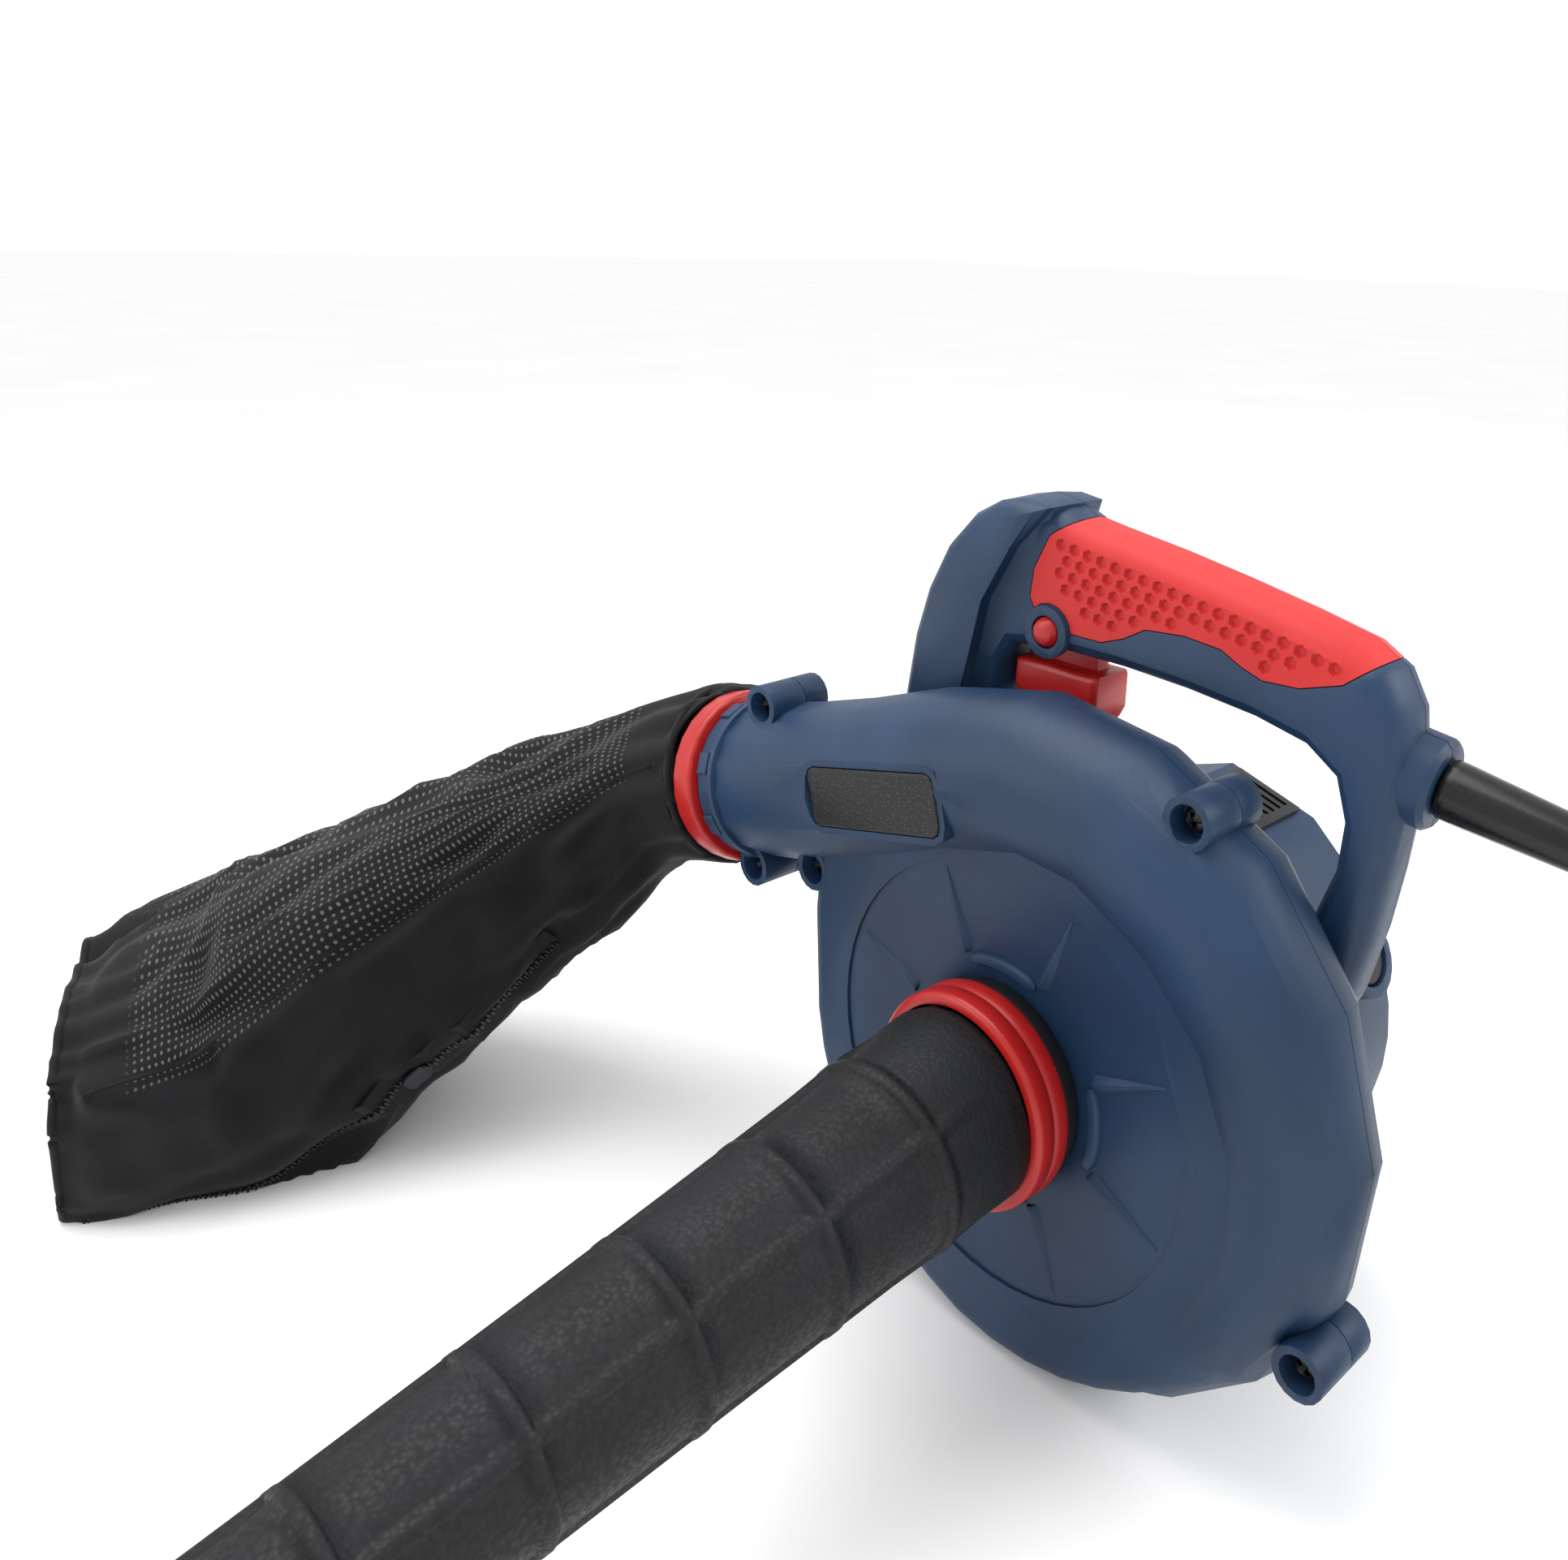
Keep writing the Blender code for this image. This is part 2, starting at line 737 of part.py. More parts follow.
for side, word in ((-1, "left"), (1, "right")):
    outer = handleForm(f"grip_outer_form_{word}", side, 0.0)
    chunk = blockForm(f"block_outer_form_{word}", side)
    low, high = sorted((handleY + side * gap / 2, handleY + side * halfFar))
    halfSpace = block(f"handle_half_form_{word}", (-300, low, -100), (300, high, 300), bluePlastic, True)
    whole = joined(f"handle_form_{word}", [outer, chunk, glandRing], bluePlastic)
    if side < 0:
        collar = lockAxisRod("lock_collar_form", side, -1.0, 1.6, lockCollar)
        cut(whole, collar, "UNION")
        baked(whole)
    hollow = handleForm(f"grip_hollow_form_{word}", side, gripSkin + gap + handleWall)
    blockFace = handleY + side * (blockDepth[side] - handleWall)
    rounding = blockRound[side][0][1]
    hollowLevels = [
        (blockFace, handleWall + rounding * 0.6),
        (blockFace - side * 4, handleWall),
        (handleY, handleWall),
    ]
    hollowBlock = layers(f"block_hollow_form_{word}", blockOutline, hollowLevels, bluePlastic, True)
    skinCore = handleForm(f"skin_core_form_{word}", side, gripSkin)
    shellCore = handleForm(f"shell_core_form_{word}", side, gripSkin + gap)
    low, high = sorted((handleY, handleY + side * 40))
    prism = layers(f"grip_prism_form_{word}", gripOutline, [(low, 0.0), (high, 0.0)], bluePlastic, True)
    if side < 0:
        cut(prism, lockAxisRod("grip_lock_form", side, -20, 10, lockCollar + gap + 0.2))
        baked(prism)
    wideLevels = [(low - 1, -gap), (high + 1, -gap)]
    wider = layers(f"grip_wide_form_{word}", gripOutline, wideLevels, bluePlastic, True)
    cut(wider, shellCore)
    if side < 0:
        cut(wider, lockAxisRod("shell_lock_form", side, -20, 10, lockCollar + 0.2))
    baked(wider)

    shell = copied(f"handle_{word}_shell", whole)
    cut(shell, wider)
    cut(shell, hollow)
    cut(shell, hollowBlock)
    for i, (x, z) in enumerate(handleScrews):
        depth = blockDepth[side] - 1.8 if x < -40 else gripDepth[side] - 3.4
        start, end = (x, handleY - side, z), (x, handleY + side * depth, z)
        pillar = rod(f"pillar_{word}_form_{i + 1}", start, end, pillarRadius, bluePlastic, 12, True)
        cut(shell, pillar, "UNION")
    cut(shell, halfSpace, "INTERSECT")
    for i, (x, z) in enumerate(handleScrews):
        seat = handleY + (blockDepth[1] if x < -40 else gripDepth[1]) - pillarSink
        narrow, wide = screwShank + gap, screwHead + gap
        profile = [(narrow, handleScrewEnd - 1), (narrow, seat), (wide, seat), (wide, seat + 20)]
        if side < 0:
            profile = [(narrow, handleScrewEnd - 1), (narrow, seat)]
        cut(
            shell,
            lathe(f"pilot_{word}_form_{i + 1}", profile, bluePlastic, (x, 0, z), count=12, cutter=True),
        )
    cut(shell, motorSkin)
    cut(shell, ductClear)
    cut(shell, bodyClear)
    cut(shell, triggerCut)
    cut(shell, glandBore)
    if side < 0:
        cut(shell, lockAxisRod("lock_bore_form", side, -20.0, 6.0, lockRadius + gap))
    baked(shell)
    helper(whole)

    skin = copied(f"grip_{word}", outer)
    skin.data.materials.clear()
    skin.data.materials.append(redRubber)
    cut(skin, halfSpace, "INTERSECT")
    cut(skin, prism, "INTERSECT")
    cut(skin, skinCore)
    baked(skin)
    skin.hide_render = False
    skin.display_type = "TEXTURED"
    shell.hide_render = False
    shell.display_type = "TEXTURED"

face = handleY - gripDepth[-1]
lathe(
    "lock_button",
    [(1.4, -3.4), (3.2, -2.9), (lockRadius - 0.3, -1.4), (lockRadius, 0.2), (lockRadius, 4.2)],
    redPlastic,
    (lockX, face, lockZ),
    (0, 1, 0),
    16,
)
rod("lock_spring", (lockX, face + 7.0, lockZ), (lockX, face + 10.2, lockZ), 1.8, steel, 10)

triggerOutline = [
    (-30.2, 104),
    (-30.6, 95),
    (-27, 92.5),
    (-20, 93.5),
    (-12, 91.5),
    (-7, 88.8),
    (-3, 89.5),
    (-1.2, 93),
    (-0.9, 104),
]
triggerFinger = layers(
    "trigger_finger_form",
    triggerOutline,
    [(handleY - 8.0, 1.2), (handleY - 6.8, 0.0), (handleY + 6.8, 0.0), (handleY + 8.0, 1.2)],
    redPlastic,
    True,
)
triggerStem = block(
    "trigger_stem_form",
    (-26, handleY - 2.4, 100),
    (-5, handleY + 3.5, 110),
    redPlastic,
    True,
)
joined("trigger", [triggerFinger, triggerStem], redPlastic)
switchLow = 119.0
block("switch_body", (-24, handleY - 6, switchLow), (4, handleY + 6, 134), darkPlastic)
rod("trigger_spring", (-15, handleY, 110 + gap), (-15, handleY, switchLow - gap), 2.4, steel, 10)
block("capacitor", (34, handleY - 5.5, 116), (52, handleY + 5.5, 128), darkPlastic)
block("cord_clamp", (76.5, handleY - 5.5, 108.5), (82.0, handleY + 5.5, 112.5), darkPlastic)

# ---- Motor housing and end cover ----

housingOuter = housingForm("housing_outer_form", 0.0)
foot = layers(
    "foot_form",
    [(-footHalf, -originZ), (footHalf, -originZ), (footHalf * 0.8, -40), (-footHalf * 0.8, -40)],
    [(footNear, 1.5), (footNear + 1.5, 0.0), (footFar - 1.5, 0.0), (footFar, 1.5)],
    bluePlastic,
    True,
)
brushDirection = Vector((math.cos(math.radians(brushAngle)), 0, math.sin(math.radians(brushAngle))))
brushCentre = Vector((0, brushY, 0))
capRadius, capTop = 8.0, 65.5
bossRounds = []
for sign, word in ((1, "right"), (-1, "left")):
    heading = brushDirection * sign
    start, end = brushCentre + heading * 50, brushCentre + heading * capTop
    bossRounds.append(rod(f"cap_boss_form_{word}", start, end, capRadius + 3.2, bluePlastic, 20, True))
motorHousing = joined("motor_housing", [housingOuter, foot] + bossRounds, bluePlastic)
housingInner = lathe(
    "housing_inner_form",
    [
        (motorRadius - motorWall, frontWall + 3.0),
        (motorRadius - motorWall, motorEnd - motorTaper - 1),
        (motorEndRadius - 1.5, motorEnd - 3),
        (motorEndRadius - 1.5, motorEnd + 10),
    ],
    bluePlastic,
    count=40,
    cutter=True,
)
cut(motorHousing, housingInner)
carrier = lathe(
    "bearing_seat_form",
    [
        (bearingRadius + 0.1, frontWall + 1.0),
        (bearingRadius + 0.1, frontWall + 11.0),
        (bearingRadius + 3.0, frontWall + 11.0),
        (bearingRadius + 3.0, frontWall + 1.0),
    ],
    bluePlastic,
    count=32,
    closed=True,
    cutter=True,
)
cut(motorHousing, carrier, "UNION")
# Four ribs that hold the stator
armatureY = 44.0
armatureEnd = armatureY + armatureLength
for i in range(4):
    rings = []
    heading = Vector((*polar(1.0, 45 + 90 * i),))
    side = Vector((-heading.y, heading.x)) * 1.3
    for y in (frontWall + 1.5, armatureEnd):
        ring = []
        inner, outer = statorRadius + gap, motorRadius - 1
        for reach, s in ((inner, -1), (outer, -1), (outer, 1), (inner, 1)):
            p = heading * reach + side * s
            ring.append((p.x, y, p.y))
        rings.append(ring)
    cut(motorHousing, stack(f"stator_rib_form_{i + 1}", rings, bluePlastic, False, True), "UNION")
cut(motorHousing, ductClear)
start, end = (0, 20, 0), (0, frontWall + 20, 0)
cut(motorHousing, rod("shaft_pass_form", start, end, bearingRadius + 0.1, bluePlastic, 32, True))
for sign, word in ((1, "right"), (-1, "left")):
    heading = brushDirection * sign
    start, end = brushCentre + heading * 40, brushCentre + heading * (capTop + 10)
    cut(motorHousing, rod(f"cap_bore_form_{word}", start, end, capRadius + gap, bluePlastic, 20, True))
baked(motorHousing)

coverPlate = lathe(
    "cover_plate_form",
    [
        (motorEndRadius - 1.5 - gap, 0.0),
        (motorEndRadius - 1.5 - gap, 0.8),
        (motorEndRadius, 0.8),
        (motorEndRadius - 1.0, coverLength - 1.5),
        (motorEndRadius - 4.0, coverLength),
    ],
    bluePlastic,
    (0, motorEnd - 0.5, 0),
    count=40,
    cutter=True,
)
coverSeat = lathe(
    "cover_seat_form",
    [
        (bearingRadius + 0.1, -9.0),
        (bearingRadius + 0.1, 1.0),
        (bearingRadius + 3.0, 1.0),
        (bearingRadius + 3.0, -9.0),
    ],
    bluePlastic,
    (0, motorEnd - 0.5, 0),
    count=32,
    closed=True,
    cutter=True,
)
endCover = joined("motor_end_cover", [coverPlate, coverSeat], bluePlastic)
slotCount = 8
for i in range(slotCount):
    a = math.radians(360 * i / slotCount + 22.5)
    heading = Vector((math.cos(a), 0, math.sin(a)))
    side = Vector((-heading.z, 0, heading.x)) * 1.6
    ring = []
    for reach, s in ((20, -1), (42, -1), (42, 1), (20, 1)):
        ring.append(heading * reach + side * s)
    rings = [[(p.x, y, p.z) for p in ring] for y in (motorEnd - 3, motorEnd + 12)]
    cut(endCover, stack(f"slot_form_{i + 1}", rings, bluePlastic, False, True))
coverScrewReach = 44.5
for i in range(3):
    a = 90 + 120 * i
    x, z = polar(coverScrewReach, a)
    start, end = (x, motorEnd - 5, z), (x, motorEnd + 12, z)
    cut(endCover, rod(f"cover_hole_form_{i + 1}", start, end, screwShank + gap, bluePlastic, 12, True))
baked(endCover)
for i in range(3):
    x, z = polar(coverScrewReach, 90 + 120 * i)
    seat = motorEnd - 0.5 + coverLength + gap
    profile = [
        (screwShank, -9.0),
        (screwShank, 0.0),
        (screwHead, 0.0),
        (screwHead, 1.4),
        (screwHead * 0.6, 2.0),
    ]
    lathe(f"cover_screw_{i + 1}", profile, darkSteel, (x, seat, z), (0, 1, 0), 12)

panelTurn = (facetAngles[1] + facetAngles[2]) / 2
panelOut = Vector((math.cos(math.radians(panelTurn)), 0, math.sin(math.radians(panelTurn))))
panelSide = Vector((-panelOut.z, 0, panelOut.x))
panelReach = facetReach * math.cos(math.radians((facetAngles[2] - facetAngles[1]) / 2)) + gap
panelRings = []
for y, pulled in ((62.0, 0.5), (62.5, 0.0), (95.5, 0.0), (96.0, 0.5)):
    ring = []
    for s, r in ((-1, 0.0), (1, 0.0), (1, 1.4), (-1, 1.4)):
        p = panelOut * (panelReach + r - (pulled if r else 0)) + panelSide * s * (11.0 - pulled)
        ring.append((p.x, y, p.z))
    panelRings.append(ring)
stack("vent_panel", panelRings, darkPlastic)

# ---- Motor ----

shaftFront, shaftRear = -1.0, motorEnd - 4.0
shaftClear = 0.1
bore = shaftRadius + shaftClear
rod("rotor_shaft", (0, shaftFront, 0), (0, shaftRear, 0), shaftRadius, steel, 20)


def collarRing(name, y0, y1, inner, outer, finish, count=28, lip=0.0):
    """A plain ring on the fan axis, with its outer edges eased by a lip."""
    profile = [(inner, y0), (outer - lip, y0), (outer - lip, y1), (inner, y1)]
    if lip:
        profile[2:2] = [(outer, y0 + lip), (outer, y1 - lip)]
    return lathe(name, profile, finish, count=count, closed=True)


bearingY = frontWall + 3.0
collarRing("front_bearing", bearingY, bearingY + bearingWidth, bore, bearingRadius, steel)
collarRing("rear_bearing", motorEnd - 8.5, motorEnd - 8.5 + bearingWidth, bore, bearingRadius, steel)
collarRing("armature_core", armatureY, armatureEnd, bore, armatureRadius, darkSteel, 24)
collarRing(
    "commutator",
    brushY - commutatorLength / 2,
    brushY + commutatorLength / 2,
    bore,
    commutatorRadius,
    copper,
    24,
)
statorRing = collarRing(
    "stator_ring_form",
    armatureY,
    armatureEnd,
    statorRadius - 4.5,
    statorRadius,
    darkSteel,
    36,
)
poles = []
for sign, word in ((1, "upper"), (-1, "lower")):
    ring = []
    for step in range(9):
        a = 90 * sign - 46 + 92 * step / 8
        ring.append(polar(statorBore, a))
    for step in range(9):
        a = 90 * sign + 46 - 92 * step / 8
        ring.append(polar(statorBore + 2.0 if step in (0, 8) else statorRadius - 2.5, a))
    poles.append(
        layers(f"pole_form_{word}", ring, [(armatureY + 0.2, 0.0), (armatureEnd - 0.2, 0.0)], darkSteel, True),
    )
helper(statorRing)
joined("stator_core", [statorRing] + poles, darkSteel)

for sign, word in ((1, "upper"), (-1, "lower")):
    path = []
    spread, mid = 66.0, 23.6
    front, rear = armatureY - 3.0, armatureEnd + 3.0
    for step in range(7):
        path.append((90 * sign - spread + 2 * spread * step / 6, front))
    for step in range(7):
        path.append((90 * sign + spread - 2 * spread * step / 6, rear))
    rings = []
    half = 2.3
    for i, (angle, y) in enumerate(path):
        ring = []
        inwardY = 1 if y == front else -1
        ends = i in (0, 6, 7, 13)
        turn = math.degrees(half / mid) * (1 if i in (0, 13) else -1) if ends else 0.0
        for dr, dv in ((-1, -1), (1, -1), (1, 1), (-1, 1)):
            a = angle + (turn * dv if ends else 0.0)
            x, z = polar(mid + dr * half, a)
            ring.append((x, y + inwardY * half * dv, z))
        rings.append(ring)
    stack(f"field_coil_{word}", rings, copper, closed=True)

for sign, word in ((1, "right"), (-1, "left")):
    heading = brushDirection * sign
    tube = [(4.6, 15.0), (7.0, 15.0), (7.0, 56.7), (4.6, 56.7)]
    lathe(f"brush_holder_{word}", tube, brass, brushCentre, heading, 16, closed=True)
    start, end = brushCentre + heading * (commutatorRadius + gap), brushCentre + heading * 32
    rod(f"carbon_brush_{word}", start, end, 4.2, carbon, 16)
    profile = [
        (capRadius - 2.5, 57.0),
        (capRadius, 57.0),
        (capRadius, capTop - 1.4),
        (capRadius - 0.8, capTop - 0.6),
    ]
    lathe(f"brush_cap_{word}", profile, darkPlastic, brushCentre, heading, 20)

# ---- Impeller ----

bladeTop = impellerY + impellerWidth
plate = lathe(
    "impeller_plate_form",
    [(9.0, impellerY), (9.0, bladeTop - 2.0), (impellerRadius, bladeTop - 2.0), (impellerRadius, bladeTop)],
    darkPlastic,
    count=36,
    cutter=True,
)
blades = []
for i in range(impellerBlades):
    inner, outer = [], []
    for step in range(4):
        share = step / 3
        reach = 14.0 + (impellerRadius - 1.0 - 14.0) * share
        a = 360 * i / impellerBlades - 34 * share
        inner.append(polar(reach, a))
        outer.append(polar(reach, a + math.degrees(1.6 / reach)))
    ring = inner + outer[::-1]
    levels = [(impellerY + 1.0, 0.0), (bladeTop - 1.0, 0.0)]
    blades.append(layers(f"blade_form_{i + 1}", ring, levels, darkPlastic, True))
impeller = joined("impeller", [plate] + blades, darkPlastic)
start, end = (0, impellerY - 5, 0), (0, bladeTop + 5, 0)
cut(impeller, rod("hub_bore_form", start, end, bore, darkPlastic, 20, True))
baked(impeller)
nutFront, nutBack = 0.4, impellerY - gap
profile = [(bore + 0.7, nutFront), (6.4, nutFront), (6.4, nutBack), (bore + 0.7, nutBack)]
lathe("impeller_nut", profile, steel, count=6, closed=True)

# ---- Nozzle ----

leanAxis = Vector(nozzleLean).normalized()
ringFront = -3.5 - gap
collarRing(
    "nozzle_ring",
    ringFront - ringLength,
    ringFront,
    collarRadius + gap,
    ringRadius,
    redPlastic,
    36,
    1.2,
)
nozzleStart = ringFront - ringLength - gap
nozzleOrigin = Vector((0, nozzleStart, 0))
profile = [
    (nozzleBase, 0.0),
    (nozzleBase - 0.4, 8.0),
    (22.9, 42.0),
    (20.9, 82.0),
    (18.8, 130.0),
    (16.8, 178.0),
    (nozzleTip, nozzleLength),
]
inner = [(r - nozzleWall, d) for r, d in reversed(profile)]
rings = []
for r, d in profile + inner:
    bend = leanAxis if d > 0 else Vector((0, -1, 0))
    centre = nozzleOrigin + leanAxis * d
    rings.append(circle(centre, bend, r, 28))
stack("nozzle_tube", rings, softBlack, closed=True)

# ---- Bag ----

bagRingStart = neckEnd + neckAxis * gap
spigot, spigotLength = 18.7, 4.0
lathe(
    "bag_ring",
    [
        (spigot, -spigotLength),
        (spigot, 0.0),
        (bagRingRadius - 0.8, 0.0),
        (bagRingRadius, 0.8),
        (bagRingRadius, bagRingLength - 0.8),
        (bagRingRadius - 0.8, bagRingLength),
        (spigot - 1.8, bagRingLength),
        (spigot - 1.8, -spigotLength),
    ],
    redPlastic,
    bagRingStart,
    neckAxis,
    28,
    closed=True,
)
bagStart = bagRingStart + neckAxis * (bagRingLength + gap)
bagPath = [
    (bagStart, (27.0, 27.0)),
    (bagStart + neckAxis * 10, (28.0, 28.0)),
    (Vector((-162.6, 1.1, 32.5)), (28.0, 26.5)),
    (Vector((-191.8, -21.7, 4.3)), (39.0, 35.0)),
    (Vector((-222.6, -56.8, -22.0)), (50.0, 40.5)),
    (Vector((-248.2, -94.8, -50.0)), (62.0, 46.0)),
    (Vector((-267.2, -134.3, -58.6)), (59.0, 38.0)),
    (Vector((-274.0, -151.3, -59.0)), (54.0, 33.0)),
]
floorZ = -originZ
bagSides = 20


def bagRing(index, shrink):
    """A rounded section across the bag's path, flat where it lies on the ground."""
    centre, (wide, tall) = bagPath[index]
    before = bagPath[max(index - 1, 0)][0]
    after = bagPath[min(index + 1, len(bagPath) - 1)][0]
    along = (after - before).normalized() if index > 1 else Vector(neckAxis)
    side = along.cross(Vector((0, 0, 1))).normalized()
    up = side.cross(along)
    made = []
    for i in range(bagSides):
        a = 2 * math.pi * i / bagSides
        c, s = math.cos(a), math.sin(a)
        square = 0.75 if index > 2 else 1.0
        x = math.copysign(abs(c) ** square, c) * (wide - shrink)
        z = math.copysign(abs(s) ** square, s) * (tall - shrink)
        p = centre + side * x + up * z
        p.z = max(p.z, floorZ + shrink)
        made.append(p)
    return made


def bagPoint(index, angle, out):
    """A point outside the bag's wall at one of its sections."""
    ring = bagRing(index, 0.0)
    centre = sum(ring, Vector()) / bagSides
    p = ring[angle]
    return p + (p - centre).normalized() * out


bagWall = 1.5
lastStep = (bagPath[-2][0] - bagPath[-1][0]).normalized() * bagWall
rings = [[p + lastStep for p in bagRing(len(bagPath) - 1, bagWall)]]
rings += [bagRing(i, bagWall) for i in range(len(bagPath) - 2, -1, -1)]
rings += [bagRing(i, 0.0) for i in range(len(bagPath))]
stack("bag_body", rings, nylon)

# The zip's slider rides a straight stretch of the near lower edge
sliderLong, sliderWide, sliderThick = 9.0, 6.5, 3.0
zipSide = 12
zipStart, zipEnd = bagPoint(4, zipSide, 0.6), bagPoint(5, zipSide, 0.6)
zipAxis = (zipEnd - zipStart).normalized()
zipOut = (zipStart - bagPath[4][0]).normalized()
zipOut = (zipOut - zipAxis * zipOut.dot(zipAxis)).normalized()
zipAcross = zipAxis.cross(zipOut)
rings = []
for along, pulled in ((3.0, 1.2), (4.2, 0.0), (3.0 + sliderLong - 1.2, 0.0), (3.0 + sliderLong, 1.2)):
    ring = []
    for c, d in ((-1, 0), (1, 0), (1, 1), (-1, 1)):
        half = sliderWide / 2 - pulled
        rise = 0.4 if d == 0 else sliderThick - pulled * 0.5
        ring.append(zipStart + zipAxis * along + zipAcross * c * half + zipOut * rise)
    rings.append(ring)
stack("zipper_slider", rings, steel)

# ---- Cord ----

reliefStart = glandCentre + cordAxis * (7.0 + gap)
lathe(
    "strain_relief",
    [(reliefNeck, -14.0), (reliefNeck, gap), (7.3, gap), (7.3, 3.0), (4.9, reliefLength - 2.0), (4.5, reliefLength)],
    darkPlastic,
    reliefStart,
    cordAxis,
    16,
)
cordStart = reliefStart + cordAxis * (reliefLength + 2 * gap)
coilCentre = Vector((212.0, 66.0))
coilMid, coilHalf, coilTall = 43.0, 7.4, 22.0
plugRadius = 10.5
coilBase = floorZ
lathe(
    "cord_coil",
    [
        (coilMid - coilHalf, 2.0),
        (coilMid - coilHalf + 2.0, 0.0),
        (coilMid + coilHalf - 2.0, 0.0),
        (coilMid + coilHalf, 2.0),
        (coilMid + coilHalf, coilTall - 2.0),
        (coilMid + coilHalf - 2.0, coilTall),
        (coilMid - coilHalf + 2.0, coilTall),
        (coilMid - coilHalf, coilTall - 2.0),
    ],
    darkPlastic,
    (coilCentre.x, coilCentre.y, coilBase),
    (0, 0, 1),
    32,
    closed=True,
)


def cordTube(name, route, between):
    """A round tube on a smooth curve through the route's points."""
    data = bpy.data.curves.new(name, "CURVE")
    data.dimensions = "3D"
    points = smooth(route, between, loop=False)
    spline = data.splines.new("POLY")
    spline.points.add(len(points) - 1)
    for target, point in zip(spline.points, points):
        target.co = (*place(point), 1.0)
    data.bevel_depth = cordRadius * mm
    data.bevel_resolution = 2
    data.use_fill_caps = True
    data.materials.append(darkPlastic)
    obj = bpy.data.objects.new(name, data)
    bpy.context.scene.collection.objects.link(obj)
    return obj


lay = floorZ + cordRadius + 0.4
plugZ = floorZ + plugRadius
cordTube(
    "power_cord",
    [
        cordStart,
        cordStart + cordAxis * 7,
        cordStart + cordAxis * 16,
        Vector((196, 64, 68)),
        Vector((216, 80, 30)),
        Vector((228, 104, -18)),
        Vector((228, 127, -54)),
        Vector((213, 142, lay + 6)),
        Vector((188, 143, lay)),
        Vector((163, 128, lay)),
        Vector((151, 100, lay)),
        Vector((coilCentre.x - coilMid - coilHalf - cordRadius - gap - 0.2, 66, lay)),
    ],
    4,
)
cordTube(
    "cord_tail",
    [
        Vector((coilCentre.x + coilMid + coilHalf + cordRadius + gap + 0.3, 76, lay)),
        Vector((coilCentre.x + coilMid + coilHalf + cordRadius + 6, 96, lay)),
        Vector((274, 128, lay)),
        Vector((266, 156, lay + 3)),
        Vector((244, 170, plugZ)),
        Vector((222, 172, plugZ)),
    ],
    4,
)
plugStart = Vector((222 - gap, 172, plugZ))
plugAxis = Vector((-1, 0, 0))
lathe(
    "plug_body",
    [(4.2, 0.0), (5.2, 12.0), (7.5, 16.0), (plugRadius, 28.0), (plugRadius, 44.0), (plugRadius - 1.0, 46.0)],
    darkPlastic,
    plugStart,
    plugAxis,
    20,
)
for sign, word in ((1, "near"), (-1, "far")):
    start = plugStart + plugAxis * (46.0 + gap) + Vector((0, sign * 6.0, 0))
    rod(f"plug_pin_{word}", start, start + plugAxis * 19, 2.0, brass, 12)

# ---- Handle screws ----

for i, (x, z) in enumerate(handleScrews):
    seat = handleY + (blockDepth[1] if x < -40 else gripDepth[1]) - pillarSink + gap
    lathe(
        f"handle_screw_{i + 1}",
        [
            (screwHead * 0.6, seat + 2.2),
            (screwHead, seat + 1.5),
            (screwHead, seat),
            (screwShank, seat),
            (screwShank, handleScrewEnd + 2),
            (0.8, handleScrewEnd),
        ],
        darkSteel,
        (x, 0, z),
        count=12,
    )
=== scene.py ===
# Corded leaf blower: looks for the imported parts. Lengths in the settings are millimetres.
import json
import math

import bmesh
import bpy
from mathutils import Matrix, Vector, noise

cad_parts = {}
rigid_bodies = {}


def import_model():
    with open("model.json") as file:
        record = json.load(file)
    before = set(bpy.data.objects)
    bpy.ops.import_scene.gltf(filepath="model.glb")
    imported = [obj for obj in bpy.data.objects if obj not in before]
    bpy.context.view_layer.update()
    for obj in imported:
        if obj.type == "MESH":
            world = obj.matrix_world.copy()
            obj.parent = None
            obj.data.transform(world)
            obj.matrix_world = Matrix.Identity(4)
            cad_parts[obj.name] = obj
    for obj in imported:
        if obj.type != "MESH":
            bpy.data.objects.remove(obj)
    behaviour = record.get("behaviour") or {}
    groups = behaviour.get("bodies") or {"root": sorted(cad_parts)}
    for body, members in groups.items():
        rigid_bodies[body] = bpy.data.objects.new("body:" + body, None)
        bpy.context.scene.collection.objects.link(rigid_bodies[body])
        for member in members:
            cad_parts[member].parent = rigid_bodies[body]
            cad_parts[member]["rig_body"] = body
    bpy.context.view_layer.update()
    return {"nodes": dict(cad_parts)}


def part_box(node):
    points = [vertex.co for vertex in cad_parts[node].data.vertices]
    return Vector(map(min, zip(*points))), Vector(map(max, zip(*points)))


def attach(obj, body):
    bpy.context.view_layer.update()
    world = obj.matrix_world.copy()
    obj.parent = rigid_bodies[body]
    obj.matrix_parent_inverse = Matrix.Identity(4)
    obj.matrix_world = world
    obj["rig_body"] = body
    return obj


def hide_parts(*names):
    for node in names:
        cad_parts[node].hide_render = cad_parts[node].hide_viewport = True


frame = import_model()
print("frame loaded")

mm = 0.001
fanAxis = Vector((84.04, 61.33, 83.5))  # where the fan's axis meets the front face
scene = bpy.context.scene


def at(x, y, z):
    return (Vector((x, y, z)) + fanAxis) * mm


# ---- Camera ----

view = {
    "place": (226.0, -259.6, 220.6),
    "right": (0.7081, 0.7056, 0.028),
    "forward": (-0.6883, 0.6985, -0.1961),
    "lens": 32.61,
    "shift": (-0.0952, -0.166),
}


